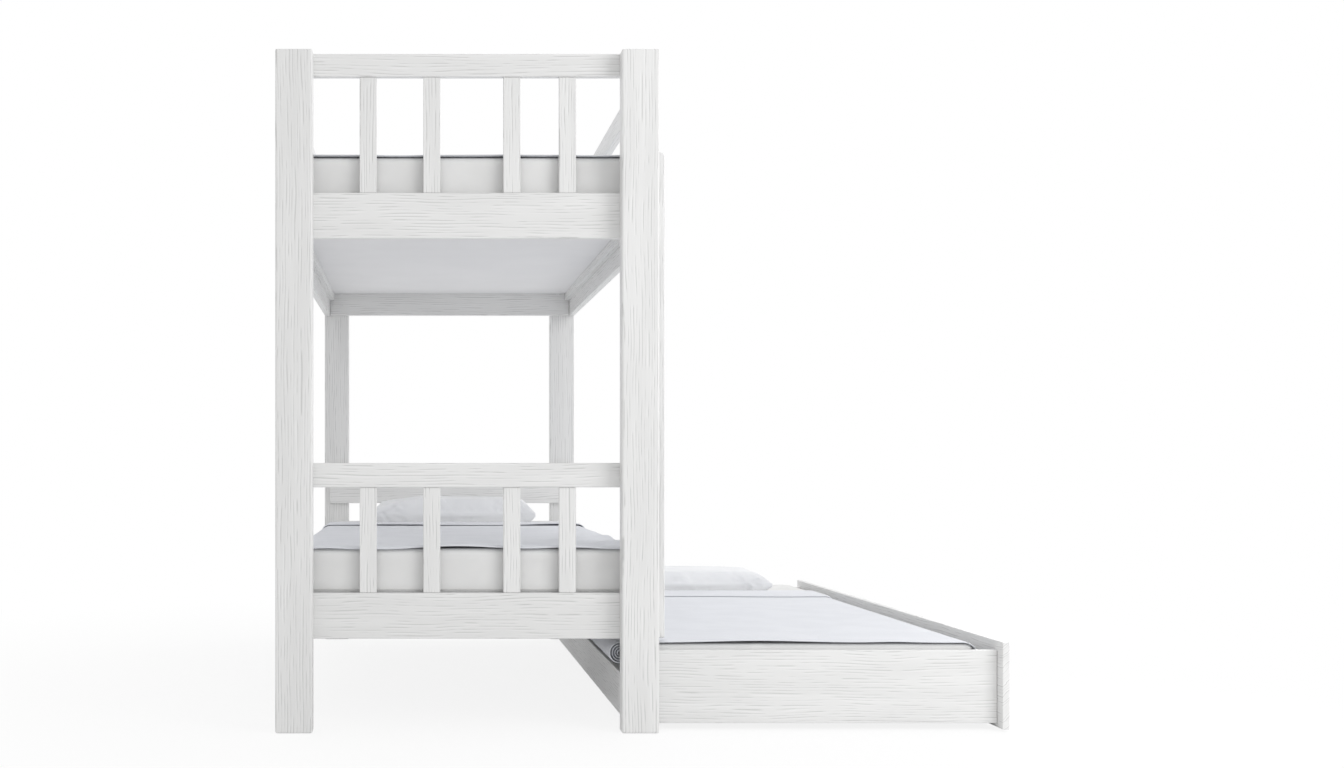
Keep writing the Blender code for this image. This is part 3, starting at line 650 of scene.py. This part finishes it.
def rolled_line(left, right, top, roll, right_drop):
    """The trundle's line: what hangs over at the left is rolled up, like a spiral."""
    centre = Vector((left + roll, 0, top - roll))
    turns = (roll - ROLL_HEART) / ROLL_PITCH
    count = round(turns * ROLL_STEPS)
    line = []
    for step in range(count + 1):
        angle = math.radians(90) + 2 * math.pi * turns * (1 - step / count)
        away = Vector((math.cos(angle), 0, math.sin(angle)))
        line.append((centre + away * (ROLL_HEART + ROLL_PITCH * turns * step / count), away))
    over_top = draped_line(left, right, top, 0, right_drop, RIGHT_TURN)
    return line + [step for step in over_top if step[0].x > centre.x + ROLL_END]


def lengths_along(line):
    """How far along the flat cloth each point of a line is."""
    made = [0.0]
    for (before, _), (after, _) in zip(line, line[1:]):
        made.append(made[-1] + (after - before).length)
    return made


# %% The waves and creases of a cover
CREASE_ENDS = 0.08


def bump_at(place, centre, reach):
    """A smooth bump that is 1 at its centre and falls off over its reach."""
    return math.exp(-((place - centre) / reach) ** 2)


def waving(across, run, height, reach, level, bumps, power=2):
    """The lift of a hem: a level and bumps across the bed, which fade behind it."""
    wave = level + sum(size * bump_at(across, centre, width) for size, centre, width in bumps)
    return height * wave * max(0, 1 - run / reach) ** power


def crease(across, along, start, end, width):
    """A soft ridge along a line on the flat cloth, which fades at both ends."""
    a, here = Vector(start), Vector((across, along))
    line = Vector(end) - a
    share = (here - a).dot(line) / line.length_squared
    away = (here - (a + line * max(0, min(1, share)))).length
    fade = math.sin(math.pi * max(CREASE_ENDS, min(1 - CREASE_ENDS, share)))
    return fade * math.exp(-(away / width) ** 2)


# %% One cover from its line, length and folds
COVER_BODY = 0.0045
HEM_BODY, HEM_REACH = 0.35, 0.016
FOLD_RADIUS, FOLD_STEPS = 0.0032, 8
LAYER_PRESS, BACK_HEM_REACH = 0.58, 2.5
EDGE_SWAY, SWAY_PACE, SWAY_START = 0.011, 9.5, 0.6
OTHER_CREASES = 0.37
RUMPLE_PACE, RUMPLE_SHARE = (9, 7), 0.25
FLAT_BY_HEM = 0.05


def away_from_hem(distance):
    """0 at a hem and 1 where the cover has its full thickness."""
    share = max(0, min(1, distance / HEM_REACH))
    return share * share * (3 - 2 * share)


def row_places(under, fold_turn, fold_back):
    """How far along the flat cloth each row of points is, from hem to hem."""
    near_hem = [HEM_REACH / 4, HEM_REACH / 2]
    back_steps = round(fold_back / CLOTH_STEP)
    rows_end = under + fold_turn + fold_back
    rows = [0] + near_hem
    rows += [CLOTH_STEP * step for step in range(1, int(under / CLOTH_STEP) + 1)]
    rows += [under + fold_turn * step / FOLD_STEPS for step in range(FOLD_STEPS + 1)]
    rows += [under + fold_turn + fold_back * step / back_steps for step in range(1, back_steps)]
    return rows + [rows_end - gap for gap in reversed(near_hem)] + [rows_end]


def cover_cloth(node, body, line, foot, fold_at, fold_back, hem_lift, creases, relief, origin=0):
    """A cover as one grid of points, laid out flat and then put in its place."""
    fold_turn = math.pi * FOLD_RADIUS
    under = fold_at - foot
    widths = lengths_along(line)
    rows = row_places(under, fold_turn, fold_back)
    shape = bmesh.new()
    layer = shape.loops.layers.uv.new("flat_cloth")
    bmesh.ops.create_grid(shape, x_segments=len(line) - 1, y_segments=len(rows) - 1, size=0.5)
    flat_places, fullness = {}, {}
    for vert in shape.verts:
        column = round((vert.co.x + 0.5) * (len(line) - 1))
        row = rows[round((vert.co.y + 0.5) * (len(rows) - 1))]
        width = widths[column]
        across = width - origin
        point, away = line[column]
        turned = max(0, min(1, (row - under) / fold_turn))
        angle = math.pi * turned
        if row <= under:
            run, lift = row, 0
        elif turned < 1:
            run = under + FOLD_RADIUS * math.sin(angle)
            lift = FOLD_RADIUS * (1 - math.cos(angle))
        else:
            past = row - under - fold_turn
            run = under - past
            pressed = 2 * FOLD_RADIUS - COVER_BODY * (LAYER_PRESS + HEM_BODY / 2)
            sunk = pressed * (1 - away_from_hem((fold_back - past) / BACK_HEM_REACH))
            lift = 2 * FOLD_RADIUS - sunk + hem_lift(1, across, fold_back - past)
            run += EDGE_SWAY * math.sin(width * SWAY_PACE + SWAY_START) * past / fold_back
        lying = max(0, away.z)
        lift += lying * hem_lift(0, across, run) if turned == 0 else 0
        along = run if turned < 1 else run + OTHER_CREASES
        high = sum(size * crease(across, along, *ridge) for size, *ridge in creases)
        rumple = Vector((width * RUMPLE_PACE[0], run * RUMPLE_PACE[1], len(node)))
        soft = noise.noise(rumple) * relief * RUMPLE_SHARE
        lift += lying * (max(high * relief, 0) + max(0, soft)) * min(1, run / FLAT_BY_HEM)
        vert.co = point + away * lift + Vector((0, foot + run, 0))
        flat_places[vert.index] = (width, row)
        fullness[vert.index] = away_from_hem(min(row, rows[-1] - row))
    for face in shape.faces:
        for loop in face.loops:
            loop[layer].uv = flat_places[loop.vert.index]
    piece = add_piece(f"{node}_cloth", shape, body, quilt_cotton)
    full = piece.vertex_groups.new(name="full_thickness")
    for index, weight in fullness.items():
        full.add([index], weight, "REPLACE")
    thickness = piece.modifiers.new("cloth_thickness", "SOLIDIFY")
    thickness.thickness = COVER_BODY
    thickness.offset = 0
    thickness.vertex_group = full.name
    thickness.thickness_vertex_group = HEM_BODY
    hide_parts(node)
    print(node, "flat", round(widths[-1], 3), "x", round(rows[-1], 3), "m")
    return piece, (widths[-1], rows[-1])


# %% Foot hems of the three covers
FOOT_OVERHANG = 0.006
FOOT_DROOP, FOOT_DROOP_REACH = 0.0045, 0.020
LOWER_FOOT_BUMPS = ((1.0, 0.47, 0.13), (0.60, 0.76, 0.09), (0.35, 0.13, 0.05),
                    (-0.10, 0.30, 0.05))
LOWER_BACK_BUMPS = ((0.45, 0.30, 0.14), (0.75, 0.86, 0.11))
TRUNDLE_FOOT_BUMPS = ((0.9, 0.50, 0.17), (0.35, 0.85, 0.07))


def foot_droop(run):
    """How far a berth's cover hangs down where it passes the mattress' rounded edge."""
    return FOOT_DROOP * max(0, 1 - run / FOOT_DROOP_REACH) ** 2


def low_hem(layer, across, run):
    """The lower berth's foot hem, and the near edge of its turned-back part."""
    if layer:
        return waving(across, run, 0.0065, 0.07, 0.28, LOWER_BACK_BUMPS, 1.5)
    return waving(across, run, 0.0085, 0.20, 0.10, LOWER_FOOT_BUMPS) - foot_droop(run)


def high_hem(layer, across, run):
    """The upper berth's hems. From below, only the foot hem's edge shows."""
    level = 0.35 + 0.65 * abs(math.sin(across * 6.1 + 1.2))
    lift = waving(across, run, 0.0030, 0.05 if layer else 0.2, level, ())
    return lift if layer else lift - foot_droop(run) / 2


def trundle_hem(layer, across, run):
    """The trundle's foot hem: a low wave that has to roll in under the side rail."""
    if layer:
        return waving(across, run, 0.0010, 0.05, 1, (), 1)
    return waving(across, run, 0.0062, 0.16, 0.2, TRUNDLE_FOOT_BUMPS)


# %% Creases and places of the three covers
# A crease is its height, its two ends on the flat cloth and its width.
LOW_CREASES = ((1.5, (0.66, 0.16), (0.99, 0.62), 0.036), (1.7, (0.78, 0.02), (1.00, 0.26), 0.026),
               (0.6, (0.20, 0.35), (0.48, 0.95), 0.035), (0.7, (0.55, 1.15), (0.95, 0.85), 0.026),
               (0.5, (0.08, 0.80), (0.30, 1.30), 0.028))
HIGH_CREASES = ((0.8, (0.15, 0.20), (0.55, 0.80), 0.035), (0.7, (0.90, 0.25), (0.60, 0.90), 0.030),
                (0.6, (0.25, 1.20), (0.75, 1.05), 0.028))
TRUNDLE_CREASES = ((0.9, (0.40, 0.15), (0.85, 0.62), 0.040),
                   (0.7, (0.50, 0.10), (0.84, 0.28), 0.022),
                   (0.6, (0.25, 0.60), (0.57, 1.05), 0.030),
                   (0.5, (0.15, 0.90), (0.37, 1.25), 0.022))
CASE_GAP, BERTH_GAP, TRUNDLE_GAP = 0.0045, 0.0012, 0.0010
HANGING_SIDE, TRUNDLE_RIGHT_SIDE = 0.024, 0.004
FOLD_INSET, TURNED_BACK, TRUNDLE_TURNED_BACK = 0.008, 0.19, 0.195
ROLL_INSET, ROLL_SIZE, TRUNDLE_SIDE_GAP = 0.004, 0.0275, 0.001
ORIGIN_REACH = 0.032


def berth_cover(level, *folds):
    """A cover of a fixed berth, hung over both sides of its mattress."""
    low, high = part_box(f"{level}_cover")
    mattress_low, mattress_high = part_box(f"{level}_mattress")
    side = COVER_BODY / 2 + CASE_GAP
    top = mattress_high.z - crown_of[f"{level}_mattress"] + BERTH_GAP + COVER_BODY / 2
    line = draped_line(mattress_low.x - side, mattress_high.x + side, top, HANGING_SIDE,
                       HANGING_SIDE)
    return cover_cloth(f"{level}_cover", "bed_frame", line, low.y - FOOT_OVERHANG,
                       high.y - FOLD_INSET, TURNED_BACK, *folds)


laid = {"upper": berth_cover("upper", high_hem, HIGH_CREASES, 0.0050),
        "lower": berth_cover("lower", low_hem, LOW_CREASES, 0.0060)}
low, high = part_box("trundle_cover")
case_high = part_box("trundle_mattress")[1]
trundle_top = case_high.z - crown_of["trundle_mattress"] + TRUNDLE_GAP + COVER_BODY / 2
trundle_right = case_high.x - MATTRESS_PLAY + COVER_BODY / 2 + TRUNDLE_SIDE_GAP
trundle_line = rolled_line(low.x + ROLL_INSET, trundle_right, trundle_top, ROLL_SIZE,
                           TRUNDLE_RIGHT_SIDE)
# Its hem waves and creases are counted from a place inside the roll.
origin = sum((after[0] - before[0]).length for before, after in
             zip(trundle_line, trundle_line[1:]) if after[0].x < low.x + ORIGIN_REACH)
laid["trundle"] = cover_cloth("trundle_cover", "trundle", trundle_line, low.y,
                              high.y - FOLD_INSET, TRUNDLE_TURNED_BACK, trundle_hem,
                              TRUNDLE_CREASES, 0.0020, origin)

# %% [markdown]
# ## Pillows
# When a pillow is filled, its middle rises, its sides draw in between the corners, and short folds
# run in from the seam. That is hard to draw and easy to let happen: a thin slab is remeshed into
# small squares and blown up as cloth. The result is fitted to the pillow's place, and pressed
# flat where it lies.

# %% Blow up one pillow
SLAB_SIZE, SLAB_CUTS = (0.63, 0.40, 0.036), (16, 10)
SEAM_THICKNESS, REST_THICKNESS, SEAM_REACH = 0.35, 0.65, 0.05
PILLOW_VOXEL, PILLOW_FRAMES = 0.006, 20
FILLING_PRESSURE, CLOTH_QUALITY, PILLOW_CAP = 4, 5, 0.034


def pillow_slab():
    """The flat slab that the pillow starts from, with its edges thinned to a seam."""
    shape = slab(SLAB_SIZE)
    cut_evenly(shape, [extent / 2 for extent in SLAB_SIZE], SLAB_CUTS)
    for vert in shape.verts:
        near_side = min(SLAB_SIZE[axis] / 2 - abs(vert.co[axis]) for axis in (0, 1))
        vert.co.z *= SEAM_THICKNESS + REST_THICKNESS * min(1, near_side / SEAM_REACH)
    return shape


def bake(piece):
    """The mesh of a piece as its modifiers leave it."""
    bpy.context.view_layer.update()
    graph = bpy.context.evaluated_depsgraph_get()
    return bpy.data.meshes.new_from_object(piece.evaluated_get(graph))


def filled_pillow():
    """The slab, remeshed and blown up as cloth."""
    pillow = put_shape("pillow_sim", pillow_slab())
    remesh = pillow.modifiers.new("even_squares", "REMESH")
    remesh.mode = "VOXEL"
    remesh.voxel_size = PILLOW_VOXEL
    settled = bake(pillow)
    pillow.modifiers.clear()
    pillow.data = settled
    start = [vert.co.copy() for vert in settled.vertices]
    blow_up = pillow.modifiers.new("filling", "CLOTH")
    blow_up.settings.use_pressure = True
    blow_up.settings.uniform_pressure_force = FILLING_PRESSURE
    blow_up.settings.effector_weights.gravity = 0
    blow_up.settings.quality = CLOTH_QUALITY
    for frame_number in range(1, PILLOW_FRAMES + 1):
        scene.frame_set(frame_number)
    blown = bake(pillow)
    for vert, before in zip(blown.vertices, start):
        move = vert.co - before
        if move.length > PILLOW_CAP:
            vert.co = before + move * (PILLOW_CAP / move.length)
    scene.frame_set(1)
    bpy.data.objects.remove(pillow, do_unlink=True)
    return blown


blown_pillow = filled_pillow()
print("pillow:", len(blown_pillow.vertices), "points")

# %% Lay the pillows
SEAT_SHARE, SEAT_PRESS = 0.34, 1.9
LEFT_FULLNESS, LEFT_RISE, LEFT_REACH = 0.55, 0.45, 0.62
RIGHT_FALL, TOP_WAVE = 0.12, 0.03
PILLOW_LIFT, PILLOW_PLAY, TRUNDLE_PILLOW_IN = 0.0006, 0.001, 0.028


def uneven_top(u, v):
    """How full the pillow is: low at the left, highest left of the middle."""
    rise = LEFT_FULLNESS + LEFT_RISE * min(1, (u + 1) / LEFT_REACH)
    return rise - RIGHT_FALL * max(0, u + 0.3) - TOP_WAVE * math.sin(5 * v + 3 * u)


def lay_pillow(node, body, turned, drawn_in=0.0):
    """Fit the blown-up pillow into its place and press its underside flat."""
    low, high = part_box(node)
    high.x -= drawn_in
    shape = bmesh.new()
    shape.from_mesh(blown_pillow)
    if turned:
        bmesh.ops.rotate(shape, verts=shape.verts, matrix=Matrix.Rotation(math.pi, 3, "Z"))
    reach = [max(abs(vert.co[axis]) for vert in shape.verts) for axis in range(3)]
    size = high - low
    for vert in shape.verts:
        u, v, w = (vert.co[axis] / reach[axis] for axis in range(3))
        x = (low.x + high.x) / 2 + u * size.x / 2
        y = (low.y + high.y) / 2 + v * size.y / 2
        if w >= 0:
            z = SEAT_SHARE + (1 - SEAT_SHARE) * w * min(1, uneven_top(u, v))
        else:
            z = SEAT_SHARE * max(0, 1 + SEAT_PRESS * w)
        vert.co = Vector((x, y, low.z + PILLOW_LIFT + z * (size.z - PILLOW_PLAY)))
    box_uv(shape)
    piece = add_piece(f"{node}_case", shape, body, pillow_cotton)
    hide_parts(node)
    print(node, [round(v, 3) for v in size])
    return piece


pillows = {"upper": lay_pillow("upper_pillow", "bed_frame", True),
           "lower": lay_pillow("lower_pillow", "bed_frame", False),
           "trundle": lay_pillow("trundle_pillow", "trundle", False, TRUNDLE_PILLOW_IN)}
low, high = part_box("trundle_pillow")
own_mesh(pillows["trundle"])

# %% [markdown]
# ## Tape edges of the mattresses
# The case of a mattress is closed with a narrow tape that stands out along its lower rim as a
# thin cord. A ring of points is laid round the rim, and small circles set square to it are
# joined into a closed tube.

# %% A cord round a rim
TAPE_RADIUS, TAPE_SIDES, TAPE_INSET, TAPE_LEVEL, CORNER_STEPS = 0.0016, 8, 0.0012, 0.75, 6


def ring_cord(shape, points):
    """A closed round cord through a ring of points at one height."""
    rings = []
    for index, point in enumerate(points):
        ahead = points[(index + 1) % len(points)] - points[index - 1]
        out = Vector((ahead.y, -ahead.x, 0)).normalized()
        ring = bmesh.ops.create_circle(shape, cap_ends=False, segments=TAPE_SIDES,
                                       radius=TAPE_RADIUS)["verts"]
        for vert in ring:
            vert.co = point + out * vert.co.x + Vector((0, 0, vert.co.y))
        rings.append(ring)
    for before, after in zip(rings, rings[1:] + rings[:1]):
        edges = {edge for ring in (before, after) for vert in ring for edge in vert.link_edges
                 if edge.other_vert(vert) in ring}
        bmesh.ops.bridge_loops(shape, edges=list(edges))


def rim_points(low, high, height):
    """Points at one height a little inside a rectangle with round corners."""
    left, right = low.x + CORNER_ROUND, high.x - CORNER_ROUND
    front, back = low.y + CORNER_ROUND, high.y - CORNER_ROUND
    made = []
    for turn, centre in enumerate(((right, back), (left, back), (left, front), (right, front))):
        for step in range(CORNER_STEPS + 1):
            angle = math.radians(90 * turn + 90 * step / CORNER_STEPS)
            out = Vector((math.cos(angle), math.sin(angle), 0))
            made.append(Vector((*centre, height)) + out * (CORNER_ROUND - TAPE_INSET))
    return made


for level in mattress_cases:
    low, high = mattress_box(f"{level}_mattress")
    tape = bmesh.new()
    ring_cord(tape, rim_points(low, high, low.z + EDGE_ROUND * TAPE_LEVEL))
    body = "trundle" if level == "trundle" else "bed_frame"
    add_solid(f"{level}_mattress_tape", tape, body, seam_tape)
print("tapes:", len(mattress_cases))

# %% [markdown]
# ## Metal and plastic
# The fittings are zinc-plated steel and the wheels are dark moulded plastic. They are small, so
# the speckled material of the platforms does for them too, with smaller clouds.

# %% Fitting materials
zinc = speckled("zinc_plated_steel", (0.66, 0.67, 0.68), (0.52, 0.53, 0.54), (0.28, 0.48), 500,
                0.2, metallic=1.0)
wheel_black = speckled("moulded_wheel", (0.045, 0.045, 0.048), (0.03, 0.03, 0.033), (0.42, 0.60),
                       1400, 0.4)
cap_white = speckled("white_cover_cap", (0.82, 0.82, 0.82), (0.78, 0.78, 0.78), (0.35, 0.45), 700,
                     0.15)
CASTERS = (1, 2, 3, 4)
for number in CASTERS:
    dress(f"caster_bracket_{number}", zinc)
print("brackets in zinc:", len(CASTERS))

# %% [markdown]
# ## Caster wheels
# A caster wheel is turned from its profile: a rounded tread, a narrow rim, a dished web and a hub
# that stands out. Half of the profile is mirrored for the other side, all of it is spun round the
# axle, and ribs are added on each side. The bore through the hub leaves the axle free.

# %% Turn a wheel from its profile
# A hub point is its radius and its share of half the wheel's width. A rim point starts with its
# distance inside the tread instead.
HUB_POINTS = ((0.0044, 0.95), (0.0075, 0.95), (0.0083, 0.85), (0.0088, 0.45))
RIM_POINTS = ((0.0068, 0.42), (0.0062, 0.88), (0.0055, 1), (0.0026, 1), (0.0008, 0.80), (0, 0.45))
TREAD_SIDES, SMOOTH_DEGREES = 48, 35
RIBS, RIB_THICKNESS, RIB_DEPTH, RIB_OUT = 6, 0.0016, 0.34, 0.58
RIB_SHORTER, RIB_SHIFT = 0.0150, 0.0008


def turned_wheel(node, body):
    """A wheel with a rounded tread, dished sides and a hub, round a free axle."""
    low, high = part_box(node)
    radius, half = (high.z - low.z) / 2, (high.y - low.y) / 2
    profile = [(r, half * share) for r, share in HUB_POINTS]
    profile += [(radius - inside, half * share) for inside, share in RIM_POINTS]
    profile += [(r, -y) for r, y in reversed(profile)]
    shape = bmesh.new()
    points = [shape.verts.new((0, y, r)) for r, y in profile]
    edges = [shape.edges.new(pair) for pair in zip(points, points[1:] + points[:1])]
    bmesh.ops.spin(shape, geom=points + edges, cent=(0, 0, 0), axis=(0, 1, 0),
                   angle=2 * math.pi, steps=TREAD_SIDES, use_merge=True)
    bmesh.ops.remove_doubles(shape, verts=shape.verts, dist=1e-6)
    for side in (-1, 1):
        for turn in range(RIBS):
            rib = bmesh.ops.create_cube(shape, size=1)["verts"]
            bmesh.ops.scale(shape, vec=(RIB_THICKNESS, half * RIB_DEPTH, radius - RIB_SHORTER),
                            verts=rib)
            bmesh.ops.translate(shape, vec=(0, side * half * RIB_OUT, radius / 2 + RIB_SHIFT),
                                verts=rib)
            bmesh.ops.rotate(shape, verts=rib, cent=(0, 0, 0),
                             matrix=Matrix.Rotation(math.radians(360 / RIBS * turn), 3, "Y"))
    bmesh.ops.translate(shape, vec=(low + high) / 2, verts=shape.verts)
    piece = add_solid(f"{node}_turned", shape, body, wheel_black, SMOOTH_DEGREES)
    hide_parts(node)


for number in CASTERS:
    turned_wheel(f"caster_wheel_{number}", f"wheel_{number}")
print("wheels:", len(CASTERS))

# %% [markdown]
# ## Small fittings
# The bed's bolts sit under white cover caps, steel angles carry the platforms from below, and
# the caster axles end in riveted heads. Each kind of head is modelled lying on the ground with
# its face up, and then turned to face outward from the surface that it sits on. It is let in by
# a fraction of a millimetre, so no gap shows under its rim.

# %% Heads, caps and their places
# The size of a head is its radius, its height and the rounding of its rim.
SEATED, HEAD_SIDES, RIM_SEGMENTS = 0.0004, 24, 3
BOLT_CAP, STILE_CAP = (0.0065, 0.0014, 0.0009), (0.0070, 0.0022, 0.0014)
RIVET, SCREW = (0.0064, 0.0030, 0.0014), (0.0036, 0.0016, 0.0005)
CROSS_REACH, CROSS_DEPTH, CROSS_STEP, CROSS_WAIST = 0.0021, 0.0009, 0.35, 0.4
CAP_INSET, CAP_SHARES, RIVET_LET_IN = 0.045, (0.3, 0.7), 0.002


def round_head(shape, radius, height, rounding):
    """A round head that stands on the ground, with a rounded upper rim."""
    made = bmesh.ops.create_cone(shape, cap_ends=True, segments=HEAD_SIDES, radius1=radius,
                                 radius2=radius, depth=height)["verts"]
    bmesh.ops.translate(shape, vec=(0, 0, height / 2), verts=made)
    rim = [edge for edge in {edge for vert in made for edge in vert.link_edges}
           if all(vert.co.z > height * 0.9 for vert in edge.verts)]
    rounded = round_edges(shape, rim, rounding, RIM_SEGMENTS)
    return [vert for vert in set(made + rounded) if vert.is_valid]


def pressed_cross(shape, verts):
    """Press a recess with four arms into the flat top of a screw's head."""
    top = max({face for vert in verts for face in vert.link_faces},
              key=lambda face: face.calc_center_median().z)
    shape.normal_update()
    bmesh.ops.inset_region(shape, faces=[top], thickness=CROSS_REACH * CROSS_STEP)
    for vert in top.verts:
        flat = Vector((vert.co.x, vert.co.y, 0)).normalized()
        # By the point's angle, because a face's first point isn't the same in each run.
        turn = round(math.atan2(flat.y, flat.x) / math.tau * HEAD_SIDES)
        share = 1 if (turn + 1) % (HEAD_SIDES // 4) in (0, 1) else CROSS_WAIST
        vert.co = flat * CROSS_REACH * share + Vector((0, 0, vert.co.z))
    bmesh.ops.inset_region(shape, faces=[top], thickness=0.0001, depth=-CROSS_DEPTH)


def seated_head(shape, place, outward, size):
    """A head at its place, facing outward. A screw's head gets a cross."""
    before = set(shape.verts)
    made = round_head(shape, *size)
    if size == SCREW:
        pressed_cross(shape, made)
    made = [vert for vert in shape.verts if vert not in before]
    turn = UP.rotation_difference(Vector(outward)).to_matrix()
    bmesh.ops.rotate(shape, verts=made, cent=(0, 0, 0), matrix=turn)
    bmesh.ops.translate(shape, vec=Vector(place) - SEATED * Vector(outward), verts=made)


def several(name, places, fitting, body, slot, material, *details):
    """Equal fittings in one piece, each given by its place and its outward direction."""
    shape = bmesh.new()
    for place, outward in places:
        fitting(shape, place, outward, *details)
    add_solid(name, shape, body, material, SMOOTH_DEGREES)
    print(name, len(places))


bolt_caps, stile_caps, rivets = [], [], []
for end, inward in (("foot", 1), ("head", -1)):
    for board in ("upper_beam", "lower_beam"):
        low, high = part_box(f"{end}_{board}")
        y = high.y if inward > 0 else low.y
        bolt_caps += [((x, y, low.z + (high.z - low.z) * share), (0, inward, 0))
                      for x in (low.x + CAP_INSET, high.x - CAP_INSET) for share in CAP_SHARES]
for stile in ("near", "far"):
    low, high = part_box(f"ladder_stile_{stile}")
    for level in ("upper", "lower"):
        rail_low, rail_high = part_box(f"side_{level}_rail_right")
        stile_caps.append(((high.x, (low.y + high.y) / 2, (rail_low.z + rail_high.z) / 2),
                           (1, 0, 0)))
for number in CASTERS:
    low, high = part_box(f"caster_bracket_{number}")
    wheel_low, wheel_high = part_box(f"caster_wheel_{number}")
    middle = (wheel_low + wheel_high) / 2
    rivets += [((middle.x, high.y - RIVET_LET_IN, middle.z), (0, 1, 0)),
               ((middle.x, low.y + RIVET_LET_IN, middle.z), (0, -1, 0))]
on_bed = (seated_head, "bed_frame", "white_grained_wood", cap_white)
several("bolt_caps", bolt_caps, *on_bed, BOLT_CAP)
several("stile_caps", stile_caps, *on_bed, STILE_CAP)
several("axle_rivets", rivets, seated_head, "trundle", "zinc_steel", zinc, RIVET)

# %% Steel angles under the lower platform and the trundle's platform
ANGLE_LEG, ANGLE_WIDTH, ANGLE_SHEET = 0.030, 0.020, 0.0018
BEND_ROUND, BEND_REACH = ANGLE_SHEET * 0.6, ANGLE_WIDTH * 0.7
SCREW_SHARE = 0.62
BED_SHARES, TRUNDLE_SHARES = (0.25, 0.75), (0.25, 0.5, 0.75)


def steel_angle(shape, corner, out):
    """An L of bent sheet with two screws, in the corner of an upright and a platform."""
    corner, out = Vector(corner), Vector(out)
    along = out.cross(UP)
    outline = [(0, 0), (ANGLE_LEG, 0), (ANGLE_LEG, -ANGLE_SHEET), (ANGLE_SHEET, -ANGLE_SHEET),
               (ANGLE_SHEET, -ANGLE_LEG), (0, -ANGLE_LEG)]
    start = corner - along * ANGLE_WIDTH / 2
    side = shape.faces.new([shape.verts.new(start + out * u + UP * w) for u, w in outline])
    made = bmesh.ops.extrude_face_region(shape, geom=[side])["geom"]
    moved = [item for item in made if isinstance(item, bmesh.types.BMVert)]
    bmesh.ops.translate(shape, vec=along * ANGLE_WIDTH, verts=moved)
    bend = [edge for vert in moved for edge in vert.link_edges
            if edge.other_vert(vert) not in moved and (vert.co - corner).length < BEND_REACH]
    round_edges(shape, list(set(bend)), BEND_ROUND, RIM_SEGMENTS)
    for place, outward in ((corner + out * ANGLE_LEG * SCREW_SHARE - UP * ANGLE_SHEET, -UP),
                           (corner - UP * ANGLE_LEG * SCREW_SHARE + out * ANGLE_SHEET, out)):
        seated_head(shape, place, outward, SCREW)


low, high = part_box("lower_platform")
foot_face, head_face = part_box("foot_lower_beam")[1].y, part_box("head_lower_beam")[0].y
bed_angles = [((low.x + (high.x - low.x) * share, y, low.z), (0, out, 0))
              for share in BED_SHARES for y, out in ((foot_face, 1), (head_face, -1))]
low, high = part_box("trundle_platform")
back_face, front_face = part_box("trundle_back_rail")[1].x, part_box("trundle_front_panel")[0].x
trundle_angles = [((x, low.y + (high.y - low.y) * share, low.z), (out, 0, 0))
                  for share in TRUNDLE_SHARES for x, out in ((back_face, 1), (front_face, -1))]
several("platform_angles", bed_angles, steel_angle, "bed_frame", "zinc_steel", zinc)
several("trundle_angles", trundle_angles, steel_angle, "trundle", "zinc_steel", zinc)
